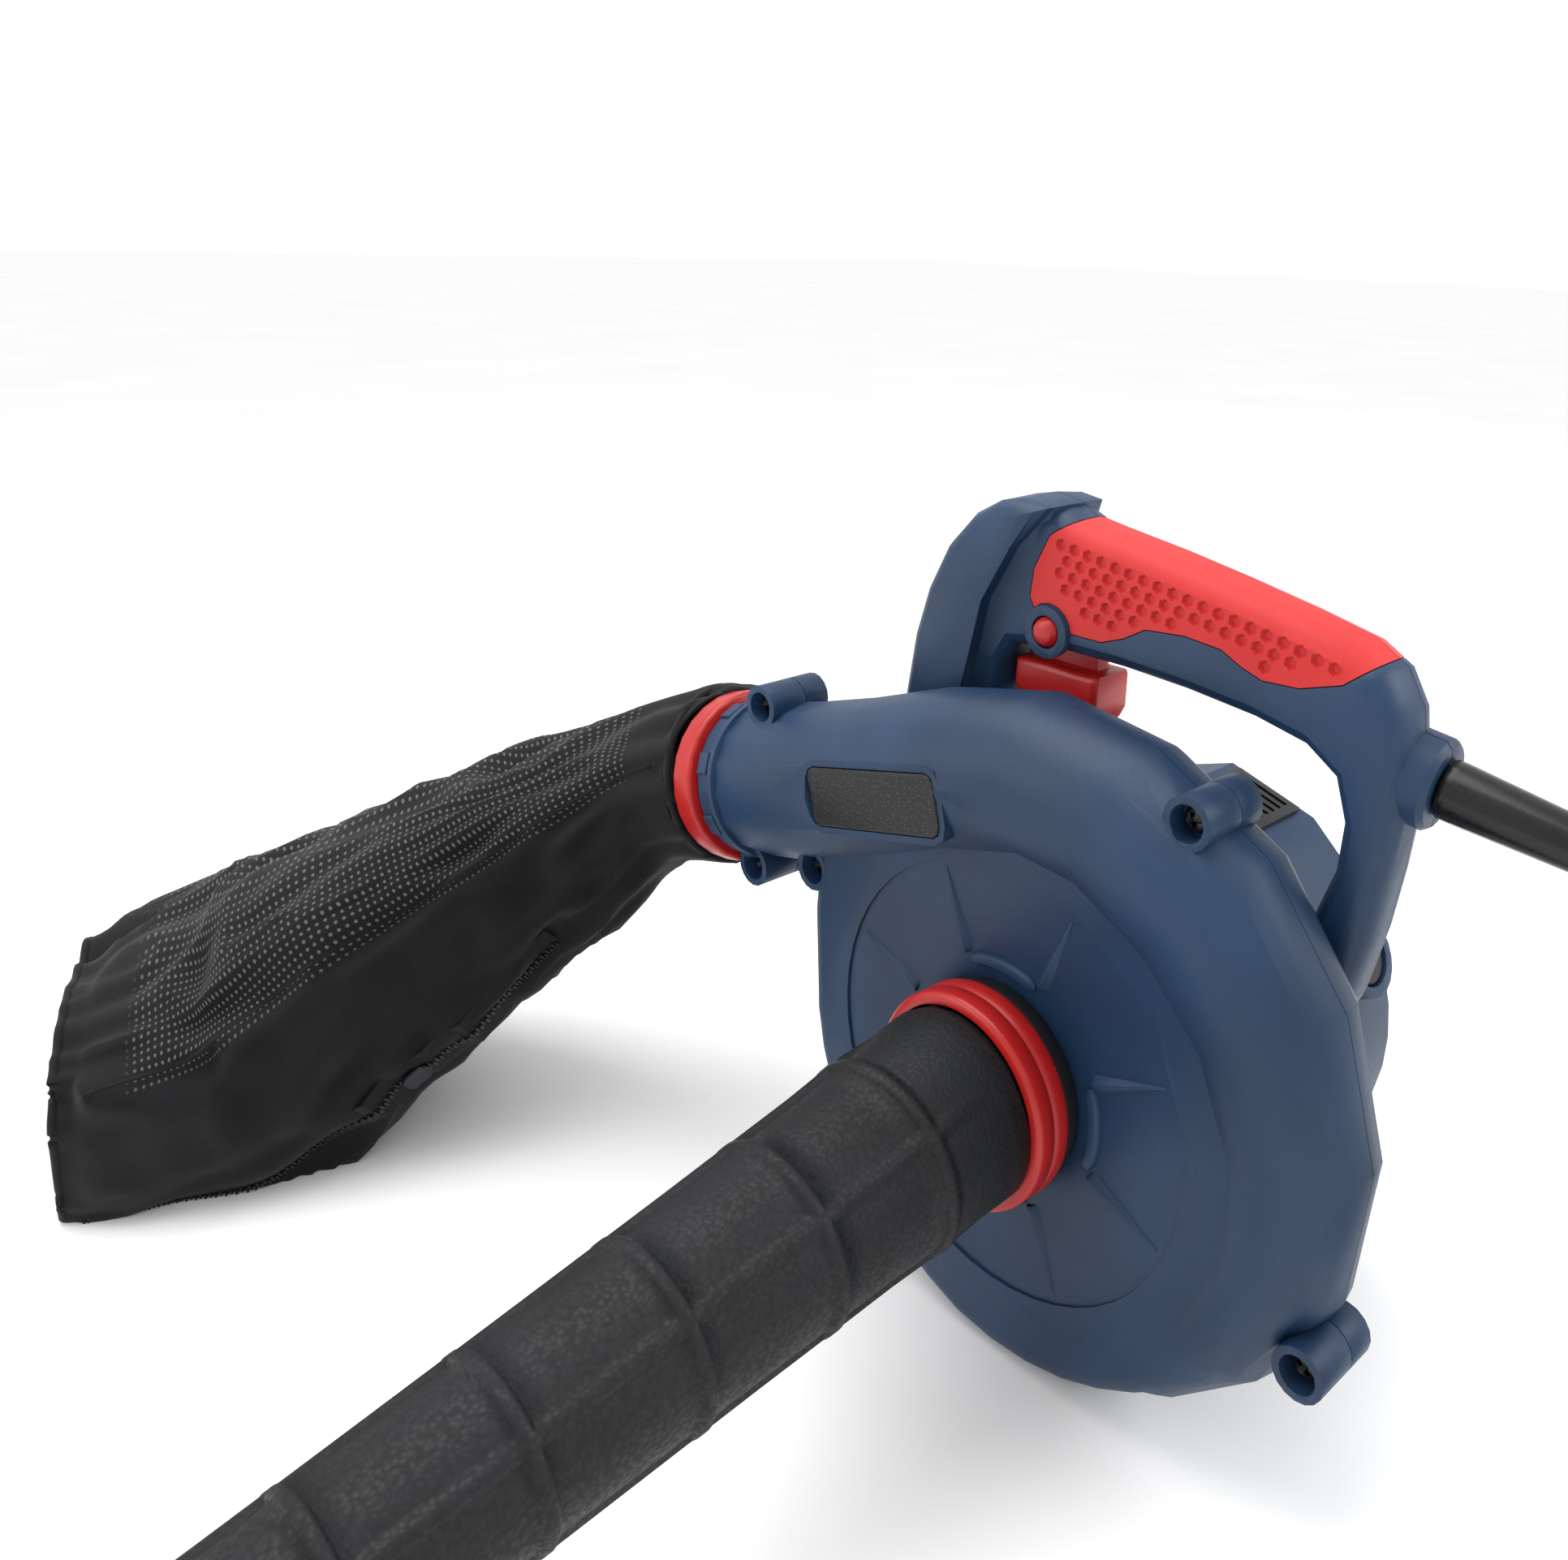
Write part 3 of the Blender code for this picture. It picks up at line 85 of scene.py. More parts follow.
def makeCamera():
    data = bpy.data.cameras.new("camera")
    data.lens = view["lens"]
    data.sensor_width = 36
    data.shift_x, data.shift_y = view["shift"]
    data.clip_start, data.clip_end = 0.02, 20
    camera = bpy.data.objects.new("camera", data)
    forward = Vector(view["forward"]).normalized()
    right = Vector(view["right"])
    right = (right - forward * right.dot(forward)).normalized()
    up = right.cross(forward)
    turn = Matrix((right, up, -forward)).transposed()
    camera.matrix_world = Matrix.Translation(at(*view["place"])) @ turn.to_4x4()
    scene.collection.objects.link(camera)
    scene.camera = camera


makeCamera()

# ---- Materials ----


def linear(colour):
    channels = [int(colour[i : i + 2], 16) / 255 for i in (1, 3, 5)]
    return [c / 12.92 if c <= 0.04045 else ((c + 0.055) / 1.055) ** 2.4 for c in channels] + [1.0]


def addNode(tree, kind, settings=None, links=None):
    made = tree.nodes.new(kind)
    for name, value in (settings or {}).items():
        if str(name).startswith("."):
            setattr(made, name[1:], value)
        else:
            made.inputs[name].default_value = value
    for name, source in (links or {}).items():
        tree.links.new(source, made.inputs[name])
    return made


def perMetre(size):
    return 1000 / size


def startMaterial(name, **shaderValues):
    made = bpy.data.materials.new(name)
    made.use_nodes = True
    shader = made.node_tree.nodes["Principled BSDF"]
    for socket, value in shaderValues.items():
        shader.inputs[socket.replace("_", " ")].default_value = value
    return made, made.node_tree, shader


def mottled(tree, coordinates, dark, light, size, detail=3.0):
    # Slow colour drift between two close shades
    settings = {"Scale": perMetre(size), "Detail": detail}
    cloud = addNode(tree, "ShaderNodeTexNoise", settings, {"Vector": coordinates})
    ramp = addNode(tree, "ShaderNodeValToRGB", {}, {"Fac": cloud.outputs["Fac"]})
    ramp.color_ramp.elements[0].position = 0.35
    ramp.color_ramp.elements[1].position = 0.65
    ramp.color_ramp.elements[0].color = linear(dark)
    ramp.color_ramp.elements[1].color = linear(light)
    return ramp.outputs["Color"]


def mouldedPlastic(name, dark, light, roughness, grain, depth, coat=0.0, sheen=0.0, gloss=0.35):
    # Injection-moulded surface: a spark-eroded tool leaves a fine even grain that breaks up highlights
    made, tree, shader = startMaterial(
        name, IOR=1.5, Coat_Weight=coat, Coat_Roughness=0.25, Sheen_Weight=sheen, Specular_IOR_Level=gloss
    )
    coordinates = addNode(tree, "ShaderNodeTexCoord").outputs["Object"]
    tree.links.new(mottled(tree, coordinates, dark, light, 38), shader.inputs["Base Color"])
    settings = {"Scale": perMetre(grain), "Detail": 4.0, "Roughness": 0.6}
    fine = addNode(tree, "ShaderNodeTexNoise", settings, {"Vector": coordinates})
    rough = addNode(
        tree,
        "ShaderNodeMapRange",
        {"From Min": 0.3, "From Max": 0.7, "To Min": roughness - 0.06, "To Max": roughness + 0.08},
        {"Value": fine.outputs["Fac"]},
    )
    tree.links.new(rough.outputs["Result"], shader.inputs["Roughness"])
    bump = addNode(
        tree, "ShaderNodeBump", {"Strength": 0.5, "Distance": depth * mm}, {"Height": fine.outputs["Fac"]}
    )
    tree.links.new(bump.outputs["Normal"], shader.inputs["Normal"])
    return made


def turnedMetal(name, colour, roughness, streak):
    # Machined metal: faint tool marks vary the gloss
    made, tree, shader = startMaterial(name, Metallic=1.0)
    shader.inputs["Base Color"].default_value = linear(colour)
    coordinates = addNode(tree, "ShaderNodeTexCoord").outputs["Object"]
    settings = {"Scale": perMetre(streak), "Detail": 5.0}
    marks = addNode(tree, "ShaderNodeTexNoise", settings, {"Vector": coordinates})
    rough = addNode(
        tree,
        "ShaderNodeMapRange",
        {"From Min": 0.3, "From Max": 0.7, "To Min": roughness - 0.08, "To Max": roughness + 0.12},
        {"Value": marks.outputs["Fac"]},
    )
    tree.links.new(rough.outputs["Result"], shader.inputs["Roughness"])
    bump = addNode(
        tree, "ShaderNodeBump", {"Strength": 0.25, "Distance": 0.03 * mm}, {"Height": marks.outputs["Fac"]}
    )
    tree.links.new(bump.outputs["Normal"], shader.inputs["Normal"])
    return made


def grainedPlastic(name, dark, light, cell, depth):
    # Polypropylene from a leather-etched tool: rounded cells with valleys between them
    made, tree, shader = startMaterial(name, IOR=1.49, Specular_IOR_Level=0.3)
    coordinates = addNode(tree, "ShaderNodeTexCoord").outputs["Object"]
    tree.links.new(mottled(tree, coordinates, dark, light, 25), shader.inputs["Base Color"])
    settings = {"Scale": perMetre(cell * 2.5), "Detail": 2.0}
    warp = addNode(tree, "ShaderNodeTexNoise", settings, {"Vector": coordinates})
    moved = addNode(
        tree,
        "ShaderNodeVectorMath",
        {".operation": "MULTIPLY_ADD", 1: (0.0016, 0.0016, 0.0016)},
        {0: warp.outputs["Color"], 2: coordinates},
    )
    cells = addNode(
        tree,
        "ShaderNodeTexVoronoi",
        {".feature": "SMOOTH_F1", "Scale": perMetre(cell), "Smoothness": 0.4},
        {"Vector": moved.outputs["Vector"]},
    )
    rough = addNode(
        tree,
        "ShaderNodeMapRange",
        {"From Min": 0.1, "From Max": 0.7, "To Min": 0.42, "To Max": 0.68},
        {"Value": cells.outputs["Distance"]},
    )
    tree.links.new(rough.outputs["Result"], shader.inputs["Roughness"])
    bump = addNode(
        tree,
        "ShaderNodeBump",
        {"Strength": 0.8, "Distance": depth * mm, ".invert": True},
        {"Height": cells.outputs["Distance"]},
    )
    tree.links.new(bump.outputs["Normal"], shader.inputs["Normal"])
    return made


def speckledPlate(name):
    # Dark label stock with a fine metallic speck
    made, tree, shader = startMaterial(name, IOR=1.5, Specular_IOR_Level=0.35)
    coordinates = addNode(tree, "ShaderNodeTexCoord").outputs["Object"]
    specks = addNode(tree, "ShaderNodeTexVoronoi", {"Scale": perMetre(0.9)}, {"Vector": coordinates})
    ramp = addNode(tree, "ShaderNodeValToRGB", {}, {"Fac": specks.outputs["Distance"]})
    ramp.color_ramp.elements[0].position, ramp.color_ramp.elements[1].position = 0.12, 0.3
    ramp.color_ramp.elements[0].color = linear("#45474B")
    ramp.color_ramp.elements[1].color = linear("#111214")
    tree.links.new(ramp.outputs["Color"], shader.inputs["Base Color"])
    shader.inputs["Roughness"].default_value = 0.42
    return made


def wovenCloth(name):
    # Plain-woven polyester cloth. Threads are drawn 0.9 mm apart so that they show; windows are open net
    made, tree, shader = startMaterial(
        name, IOR=1.5, Sheen_Weight=0.06, Sheen_Roughness=0.5, Specular_IOR_Level=0.18
    )
    uv = addNode(tree, "ShaderNodeTexCoord").outputs["UV"]
    parts = addNode(tree, "ShaderNodeSeparateXYZ", {}, {"Vector": uv})
    waves = []
    threadTurn = 2 * math.pi * perMetre(0.9)
    for axis in ("X", "Y"):
        settings = {".operation": "MULTIPLY", 1: threadTurn}
        scaled = addNode(tree, "ShaderNodeMath", settings, {0: parts.outputs[axis]})
        wave = addNode(tree, "ShaderNodeMath", {".operation": "SINE"}, {0: scaled.outputs[0]})
        waves.append(wave.outputs[0])
    weave = addNode(tree, "ShaderNodeMath", {".operation": "MULTIPLY"}, {0: waves[0], 1: waves[1]})
    # The net: round holes 2.4 mm apart, seen as light dots where the cloth behind is lit
    dots = addNode(
        tree,
        "ShaderNodeTexVoronoi",
        {".voronoi_dimensions": "2D", "Scale": perMetre(2.4), "Randomness": 0.0},
        {"Vector": uv},
    )
    ramp = addNode(tree, "ShaderNodeValToRGB", {}, {"Fac": dots.outputs["Distance"]})
    ramp.color_ramp.elements[0].position, ramp.color_ramp.elements[1].position = 0.12, 0.26
    ramp.color_ramp.elements[0].color = linear("#57595B")
    ramp.color_ramp.elements[1].color = linear("#08090A")
    mask = addNode(tree, "ShaderNodeAttribute", {".attribute_name": "netWindow"})
    cloth = mottled(tree, uv, "#08090A", "#101113", 30)
    mix = addNode(
        tree,
        "ShaderNodeMix",
        {".data_type": "RGBA"},
        {0: mask.outputs["Fac"], 6: cloth, 7: ramp.outputs["Color"]},
    )
    tree.links.new(mix.outputs[2], shader.inputs["Base Color"])
    shader.inputs["Roughness"].default_value = 0.72
    heights = addNode(
        tree,
        "ShaderNodeMix",
        {".data_type": "FLOAT"},
        {0: mask.outputs["Fac"], 2: weave.outputs[0], 3: dots.outputs["Distance"]},
    )
    bump = addNode(
        tree, "ShaderNodeBump", {"Strength": 0.35, "Distance": 0.12 * mm}, {"Height": heights.outputs[0]}
    )
    tree.links.new(bump.outputs["Normal"], shader.inputs["Normal"])
    return made


blueAbs = mouldedPlastic("matte blue ABS, moulded", "#152C46", "#1A3452", 0.46, 0.55, 0.05)
blackAbs = mouldedPlastic("black ABS, moulded", "#141517", "#1B1C1E", 0.42, 0.6, 0.04)
redAbs = mouldedPlastic("red ABS, moulded", "#A01614", "#B01C19", 0.34, 0.7, 0.02, 0.15)
redTpe = mouldedPlastic("red TPE soft grip, moulded", "#B3211F", "#C02725", 0.58, 0.45, 0.05, 0.0, 0.05)
glossPvc = mouldedPlastic("black PVC strain relief, moulded", "#0C0C0D", "#141415", 0.26, 1.2, 0.02)
cordPvc = mouldedPlastic("black PVC cord sheath, extruded", "#101011", "#171718", 0.4, 1.0, 0.03)
softPlastic = grainedPlastic("black polypropylene, leather grained", "#0F1011", "#16171A", 1.3, 0.12)
bagCloth = wovenCloth("black polyester cloth, woven")
plateStock = speckledPlate("speckled plate, printed")
steel = turnedMetal("zinc-plated steel, turned", "#B9BBBE", 0.3, 1.5)
blackSteel = turnedMetal("blackened steel, cold-headed", "#3A3B3E", 0.36, 1.2)
brassMetal = turnedMetal("brass, turned", "#C79A4B", 0.28, 1.4)
copperMetal = turnedMetal("enamelled copper, wound", "#B5653A", 0.3, 0.8)
sheetIron = turnedMetal("silicon steel, laminated", "#6E7074", 0.4, 0.6)
graphite = mouldedPlastic("carbon brush, pressed", "#1A1A1B", "#242425", 0.55, 0.4, 0.04)
print("materials made")

# ---- Helpers for meshes ----


def meshObject(name, points, faces, material, smoothShade=True):
    mesh = bpy.data.meshes.new(name)
    mesh.from_pydata(points, [], faces)
    shaped = bmesh.new()
    shaped.from_mesh(mesh)
    bmesh.ops.remove_doubles(shaped, verts=shaped.verts, dist=0.005 * mm)
    bmesh.ops.recalc_face_normals(shaped, faces=shaped.faces)
    shaped.to_mesh(mesh)
    shaped.free()
    mesh.materials.append(material)
    for face in mesh.polygons:
        face.use_smooth = smoothShade
    made = bpy.data.objects.new(name, mesh)
    scene.collection.objects.link(made)
    return made


def ringStack(rings, closed=False, caps=True):
    count = len(rings[0])
    points = [p for ring in rings for p in ring]
    faces = []
    for row in range(len(rings) if closed else len(rings) - 1):
        low, high = row * count, (row + 1) % len(rings) * count
        for i in range(count):
            j = (i + 1) % count
            faces.append((low + i, low + j, high + j, high + i))
    if caps and not closed:
        faces.append(tuple(range(count))[::-1])
        faces.append(tuple((len(rings) - 1) * count + i for i in range(count)))
    return points, faces


def axes(direction):
    along = Vector(direction).normalized()
    side = along.cross(Vector((0, 0, 1)))
    if side.length < 0.1:
        side = Vector((1, 0, 0))
    side.normalize()
    return along, side, side.cross(along)


def turned(name, profile, material, centre, direction, count=64, closed=False):
    # Radius and distance pairs in millimetres, turned about a line from centre
    along, side, up = axes(direction)
    rings = []
    for radius, reach in profile:
        ring = []
        for i in range(count):
            a = 2 * math.pi * i / count
            offset = side * math.cos(a) * radius + up * math.sin(a) * radius
            ring.append(Vector(centre) + (along * reach + offset) * mm)
        rings.append(ring)
    points, faces = ringStack(rings, closed)
    return meshObject(name, points, faces, material)


smoothTree = bpy.data.node_groups.new("smooth by angle", "GeometryNodeTree")
smoothTree.interface.new_socket("Geometry", in_out="INPUT", socket_type="NodeSocketGeometry")
angleSocket = smoothTree.interface.new_socket("Angle", in_out="INPUT", socket_type="NodeSocketFloat")
angleSocket.default_value = math.radians(32)
smoothTree.interface.new_socket("Geometry", in_out="OUTPUT", socket_type="NodeSocketGeometry")
smoothIn = addNode(smoothTree, "NodeGroupInput")
smoothOut = addNode(smoothTree, "NodeGroupOutput")
edgeAngle = addNode(smoothTree, "GeometryNodeInputMeshEdgeAngle")
isSharp = addNode(
    smoothTree,
    "FunctionNodeCompare",
    {".data_type": "FLOAT", ".operation": "GREATER_THAN"},
    {0: edgeAngle.outputs["Unsigned Angle"], 1: smoothIn.outputs["Angle"]},
)
allSmooth = addNode(
    smoothTree,
    "GeometryNodeSetShadeSmooth",
    {".domain": "FACE", "Shade Smooth": True},
    {0: smoothIn.outputs[0]},
)
sharpEdges = addNode(
    smoothTree,
    "GeometryNodeSetShadeSmooth",
    {".domain": "EDGE", "Shade Smooth": False},
    {0: allSmooth.outputs[0], "Selection": isSharp.outputs[0]},
)
smoothTree.links.new(sharpEdges.outputs[0], smoothOut.inputs[0])


def shade(obj, angle=32):
    made = obj.modifiers.new("smooth by angle", "NODES")
    made.node_group = smoothTree
    made[angleSocket.identifier] = math.radians(angle)
    return obj


def easeEdges(obj, width, segments=2, angle=34):
    made = obj.modifiers.new("eased edges", "BEVEL")
    made.width = width * mm
    made.segments = segments
    made.limit_method = "ANGLE"
    made.angle_limit = math.radians(angle)
    return obj


def dressNode(name, material, ease=0.0, angle=32):
    # A CAD part keeps its mesh and gets its finish, eased edges and smooth shading
    obj = frame["nodes"][name]
    obj.data.materials.clear()
    obj.data.materials.append(material)
    weld = obj.modifiers.new("merge loose triangles", "WELD")
    weld.merge_threshold = 0.004 * mm
    if ease:
        easeEdges(obj, ease)
    shade(obj, angle)
    return obj


def flattened(obj):
    # The evaluated mesh in place of the modifiers
    graph = bpy.context.evaluated_depsgraph_get()
    mesh = bpy.data.meshes.new_from_object(obj.evaluated_get(graph))
    obj.modifiers.clear()
    obj.data = mesh
    return obj


def carveNode(node, cutter, name, material, ease=0.0):
    # A copy of a CAD part with shapes cut out of it, which stands for that part
    source = frame["nodes"][node]
    made = bpy.data.objects.new(name, source.data.copy())
    scene.collection.objects.link(made)
    shaped = bmesh.new()
    shaped.from_mesh(made.data)
    bmesh.ops.remove_doubles(shaped, verts=shaped.verts, dist=0.004 * mm)
    shaped.to_mesh(made.data)
    shaped.free()
    made.data.materials.clear()
    made.data.materials.append(material)
    if ease:
        easeEdges(made, ease)
        flattened(made)
    cut = made.modifiers.new("cut", "BOOLEAN")
    cut.operation = "DIFFERENCE"
    cut.solver = "EXACT"
    cut.object = cutter
    bpy.context.view_layer.update()
    flattened(made)
    bpy.data.objects.remove(cutter)
    shade(made, 36)
    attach(made, frame["nodes"][node]["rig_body"])
    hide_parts(node)
    return made


def repeatTree():
    # Puts a copy of a template on every point, turned by the points' own rotation
    tree = bpy.data.node_groups.new("repeat on points", "GeometryNodeTree")
    face = tree.interface
    face.new_socket("Points", in_out="INPUT", socket_type="NodeSocketGeometry")
    face.new_socket("Template", in_out="INPUT", socket_type="NodeSocketObject")
    size = face.new_socket("Size", in_out="INPUT", socket_type="NodeSocketFloat")
    size.default_value = 1.0
    face.new_socket("Finish", in_out="INPUT", socket_type="NodeSocketMaterial")
    face.new_socket("Geometry", in_out="OUTPUT", socket_type="NodeSocketGeometry")
    source = addNode(tree, "NodeGroupInput")
    target = addNode(tree, "NodeGroupOutput")
    turn = addNode(tree, "GeometryNodeInputNamedAttribute", {".data_type": "QUATERNION", "Name": "turn"})
    shape = addNode(tree, "GeometryNodeObjectInfo", {}, {"Object": source.outputs["Template"]})
    copies = addNode(
        tree,
        "GeometryNodeInstanceOnPoints",
        {},
        {
            "Points": source.outputs["Points"],
            "Instance": shape.outputs["Geometry"],
            "Rotation": turn.outputs["Attribute"],
            "Scale": source.outputs["Size"],
        },
    )
    real = addNode(tree, "GeometryNodeRealizeInstances", {}, {"Geometry": copies.outputs["Instances"]})
    done = addNode(
        tree,
        "GeometryNodeSetMaterial",
        {},
        {"Geometry": real.outputs["Geometry"], "Material": source.outputs["Finish"]},
    )
    tree.links.new(done.outputs["Geometry"], target.inputs["Geometry"])
    return tree


repeater = repeatTree()
repeatSockets = {}
for item in repeater.interface.items_tree:
    if item.in_out == "INPUT":
        repeatSockets[item.name] = item.identifier


def repeated(name, template, spots, material, size=1.0):
    # spots are (place, direction of the template's Z, direction of its X)
    mesh = bpy.data.meshes.new(name)
    mesh.from_pydata([place for place, up, across in spots], [], [])
    turns = mesh.attributes.new("turn", "QUATERNION", "POINT")
    for entry, (place, up, across) in zip(turns.data, spots):
        z = Vector(up).normalized()
        x = Vector(across)
        x = (x - z * x.dot(z)).normalized()
        entry.value = Matrix((x, z.cross(x), z)).transposed().to_quaternion()
    made = bpy.data.objects.new(name, mesh)
    scene.collection.objects.link(made)
    copies = made.modifiers.new("repeat", "NODES")
    copies.node_group = repeater
    copies[repeatSockets["Template"]] = template
    copies[repeatSockets["Size"]] = size
    copies[repeatSockets["Finish"]] = material
    bpy.context.view_layer.update()
    flattened(made)
    bpy.data.objects.remove(template)
    return made


def smoothLine(points, between, loop=False):
    # Catmull-Rom through the points
    count = len(points)
    made = []
    for i in range(count if loop else count - 1):
        if loop:
            p = [Vector(points[(i + k) % count]) for k in (-1, 0, 1, 2)]
        else:
            p = [Vector(points[min(max(i + k, 0), count - 1)]) for k in (-1, 0, 1, 2)]
        for step in range(between):
            t = step / between
            a = p[0] * -1 + p[1] * 3 - p[2] * 3 + p[3]
            b = p[0] * 2 - p[1] * 5 + p[2] * 4 - p[3]
            made.append((p[1] * 2 + (p[2] - p[0]) * t + b * t * t + a * t**3) * 0.5)
    if not loop:
        made.append(Vector(points[-1]))
    return made


# ---- CAD parts that keep their shape ----

plain = {
    "scroll_front_shell": (blueAbs, 0.4),
    "scroll_rear_shell": (blueAbs, 0.4),
    "handle_left_shell": (blueAbs, 0.45),
    "handle_right_shell": (blueAbs, 0.45),
    "motor_housing": (blueAbs, 0.5),
    "motor_end_cover": (blueAbs, 0.4),
    "intake_collar": (blackAbs, 0.4),
    "badge_plate": (plateStock, 0.2),
    "bag_ring": (redAbs, 0.4),
    "lock_button": (redAbs, 0.3),
    "trigger": (redAbs, 0.8),
    "strain_relief": (glossPvc, 0.4),
    "plug_body": (cordPvc, 0.5),
    "plug_pin_near": (brassMetal, 0.3),
    "plug_pin_far": (brassMetal, 0.3),
    "zipper_slider": (blackSteel, 0.3),
    "impeller": (blackAbs, 0.3),
    "impeller_nut": (steel, 0.3),
    "rotor_shaft": (steel, 0.3),
    "front_bearing": (steel, 0.3),
    "rear_bearing": (steel, 0.3),
    "armature_core": (sheetIron, 0.0),
    "commutator": (copperMetal, 0.0),
    "stator_core": (sheetIron, 0.0),
    "field_coil_upper": (copperMetal, 0.8),
    "field_coil_lower": (copperMetal, 0.8),
    "brush_holder_left": (brassMetal, 0.0),
    "brush_holder_right": (brassMetal, 0.0),
    "carbon_brush_left": (graphite, 0.0),
    "carbon_brush_right": (graphite, 0.0),
    "lock_spring": (steel, 0.0),
    "trigger_spring": (steel, 0.0),
    "switch_body": (blackAbs, 0.4),
    "capacitor": (blackAbs, 0.4),
    "cord_clamp": (blackAbs, 0.4),
}
for nodeName, (material, ease) in plain.items():
    dressNode(nodeName, material, ease)
print("CAD parts dressed")

# ---- Screws ----

screw = {"head": 3.5, "rise": 2.3, "slotLong": 2.3, "slotWide": 0.75, "slotDeep": 1.5}


def phillipsHead():
    # Pan head whose cross recess narrows towards its floor; its top looks along Z
    profile = [(0.0, 0.0), (screw["head"], 0.0), (screw["head"], 0.9), (screw["head"] * 0.86, 1.7)]
    profile += [(screw["head"] * 0.6, 2.15), (screw["head"] * 0.3, screw["rise"])]
    rings = []
    for radius, rise in profile[1:]:
        ring = []
        for i in range(28):
            a = 2 * math.pi * i / 28
            ring.append(Vector((math.cos(a) * radius, math.sin(a) * radius, rise)) * mm)
        rings.append(ring)
    points, faces = ringStack(rings)
    head = meshObject("screwHead", points, faces, blackSteel)
    for turn in (0, 90):
        a = math.radians(turn)
        across, along = Vector((-math.sin(a), math.cos(a), 0)), Vector((math.cos(a), math.sin(a), 0))
        slot = []
        for rise, shrink in ((screw["rise"] - screw["slotDeep"], 0.45), (screw["rise"] + 0.4, 1.1)):
            ring = []
            for s, t in ((-1, -1), (1, -1), (1, 1), (-1, 1)):
                wide = screw["slotWide"] * (0.6 + 0.4 * shrink)
                p = along * s * screw["slotLong"] * shrink + across * t * wide
                ring.append((p + Vector((0, 0, rise))) * mm)
            slot.append(ring)
        points, faces = ringStack(slot)
        tool = meshObject("crossSlot", points, faces, blackSteel, False)
        cut = head.modifiers.new("cross", "BOOLEAN")
        cut.object = tool
        cut.solver = "EXACT"
        bpy.context.view_layer.update()
        flattened(head)
        bpy.data.objects.remove(tool)
    return head


def screwsAt(name, nodes, heading, body):
    spots = []
    for number, node in enumerate(nodes):
        low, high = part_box(node)
        middle = (low + high) / 2
        seat = high.y if heading > 0 else low.y
        turn = math.radians(17 + 41 * number)
        across = Vector((math.cos(turn), 0, math.sin(turn)))
        place = Vector((middle.x, seat - heading * (screw["rise"] + 0.05) * mm, middle.z))
        spots.append((place, (0, heading, 0), across))
    made = repeated(name, phillipsHead(), spots, blackSteel)
    shade(made, 40)
    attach(made, body)
    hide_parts(*nodes)
    return made


screwsAt("scrollScrews", [f"scroll_screw_{i}" for i in range(1, 7)], -1, "housing")
screwsAt("handleScrews", [f"handle_screw_{i}" for i in range(1, 5)], 1, "housing")
screwsAt("coverScrews", [f"cover_screw_{i}" for i in range(1, 4)], 1, "housing")
print("screws made")

# ---- Intake disc: radial ribs and arched pads ----

disc = {
    "face": 1.0,
    "ribs": 8,
    "ribFrom": 34.0,
    "ribTo": 57.5,
    "ribRise": 1.9,
    "ribWide": 5.0,
    "pads": 4,
    "padFrom": 30.5,
    "padTo": 34.5,
    "padTurn": 20.0,
}


def discRib():
    # A long wedge: broad and high next to the collar, sharp and low at the disc's edge
    rings = []
    for share in (0.0, 0.06, 0.35, 0.7, 1.0):
        reach = disc["ribFrom"] + (disc["ribTo"] - disc["ribFrom"]) * share
        size = 0.7 if share == 0.0 else 1.0 - 0.9 * share
        half, rise = disc["ribWide"] * 0.5 * size, disc["ribRise"] * size
        section = ((-0.2, -half), (0.0, -half), (rise * 0.9, -0.35))
        section += ((rise * 0.9, 0.35), (0.0, half), (-0.2, half))
        rings.append([Vector((x, y, reach)) * mm for x, y in section])
    points, faces = ringStack(rings)
    return meshObject("discRibShape", points, faces, blueAbs)


def discPad():
    # An arched raised pad next to the collar
    rings = []
    half = math.radians(disc["padTurn"])
    inner, outer = disc["padFrom"], disc["padTo"]
    middle = (inner + outer) / 2
    for step in range(13):
        a = -half + 2 * half * step / 12
        edge = 1.0 if 0 < step < 12 else 0.55
        section = ((inner, -0.2), (inner, 0.1), (inner + 0.8, 1.3))
        section += ((outer - 0.8, 1.3), (outer, 0.1), (outer, -0.2))
        ring = []
        for reach, rise in section:
            reach = middle + (reach - middle) * edge
            ring.append(Vector((rise * edge, math.sin(a) * reach, math.cos(a) * reach)) * mm)
        rings.append(ring)
    points, faces = ringStack(rings)
    return meshObject("discPadShape", points, faces, blueAbs)


spots, padSpots = [], []
centre = at(0, disc["face"], 0)
for kept, count, turn in ((spots, disc["ribs"], 0.5), (padSpots, disc["pads"], 0.0)):
    for i in range(count):
        a = 2 * math.pi * (i + turn) / count
        kept.append((centre, (math.cos(a), 0, math.sin(a)), (0, -1, 0)))
for name, template, places in (("discRibs", discRib(), spots), ("discPads", discPad(), padSpots)):
    made = repeated(name, template, places, blueAbs)
    easeEdges(made, 0.15, 2, 40)
    shade(made, 34)
    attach(made, "housing")
print("disc made")

# ---- Nozzle ----

nozzle = {
    "lean": (0.046, -0.995, -0.089),
    "start": (0, -16.1, 0),
    "profile": ((26.0, 0), (25.6, 8), (22.9, 42), (20.9, 82), (18.8, 130), (16.8, 178), (15.0, 226)),
    "ringRibs": (28, 62, 98, 134, 170, 206),
    "ringRise": 1.5,
    "ringWide": 3.8,
    "longRise": 1.3,
    "longWide": 3.4,
    "longAt": (48, 138, 228, 318),
    "wall": 2.2,
}


def nozzleRadius(reach):
    for (r0, d0), (r1, d1) in zip(nozzle["profile"], nozzle["profile"][1:]):
        if reach <= d1:
            return r0 + (r1 - r0) * (reach - d0) / (d1 - d0)
    return nozzle["profile"][-1][0]


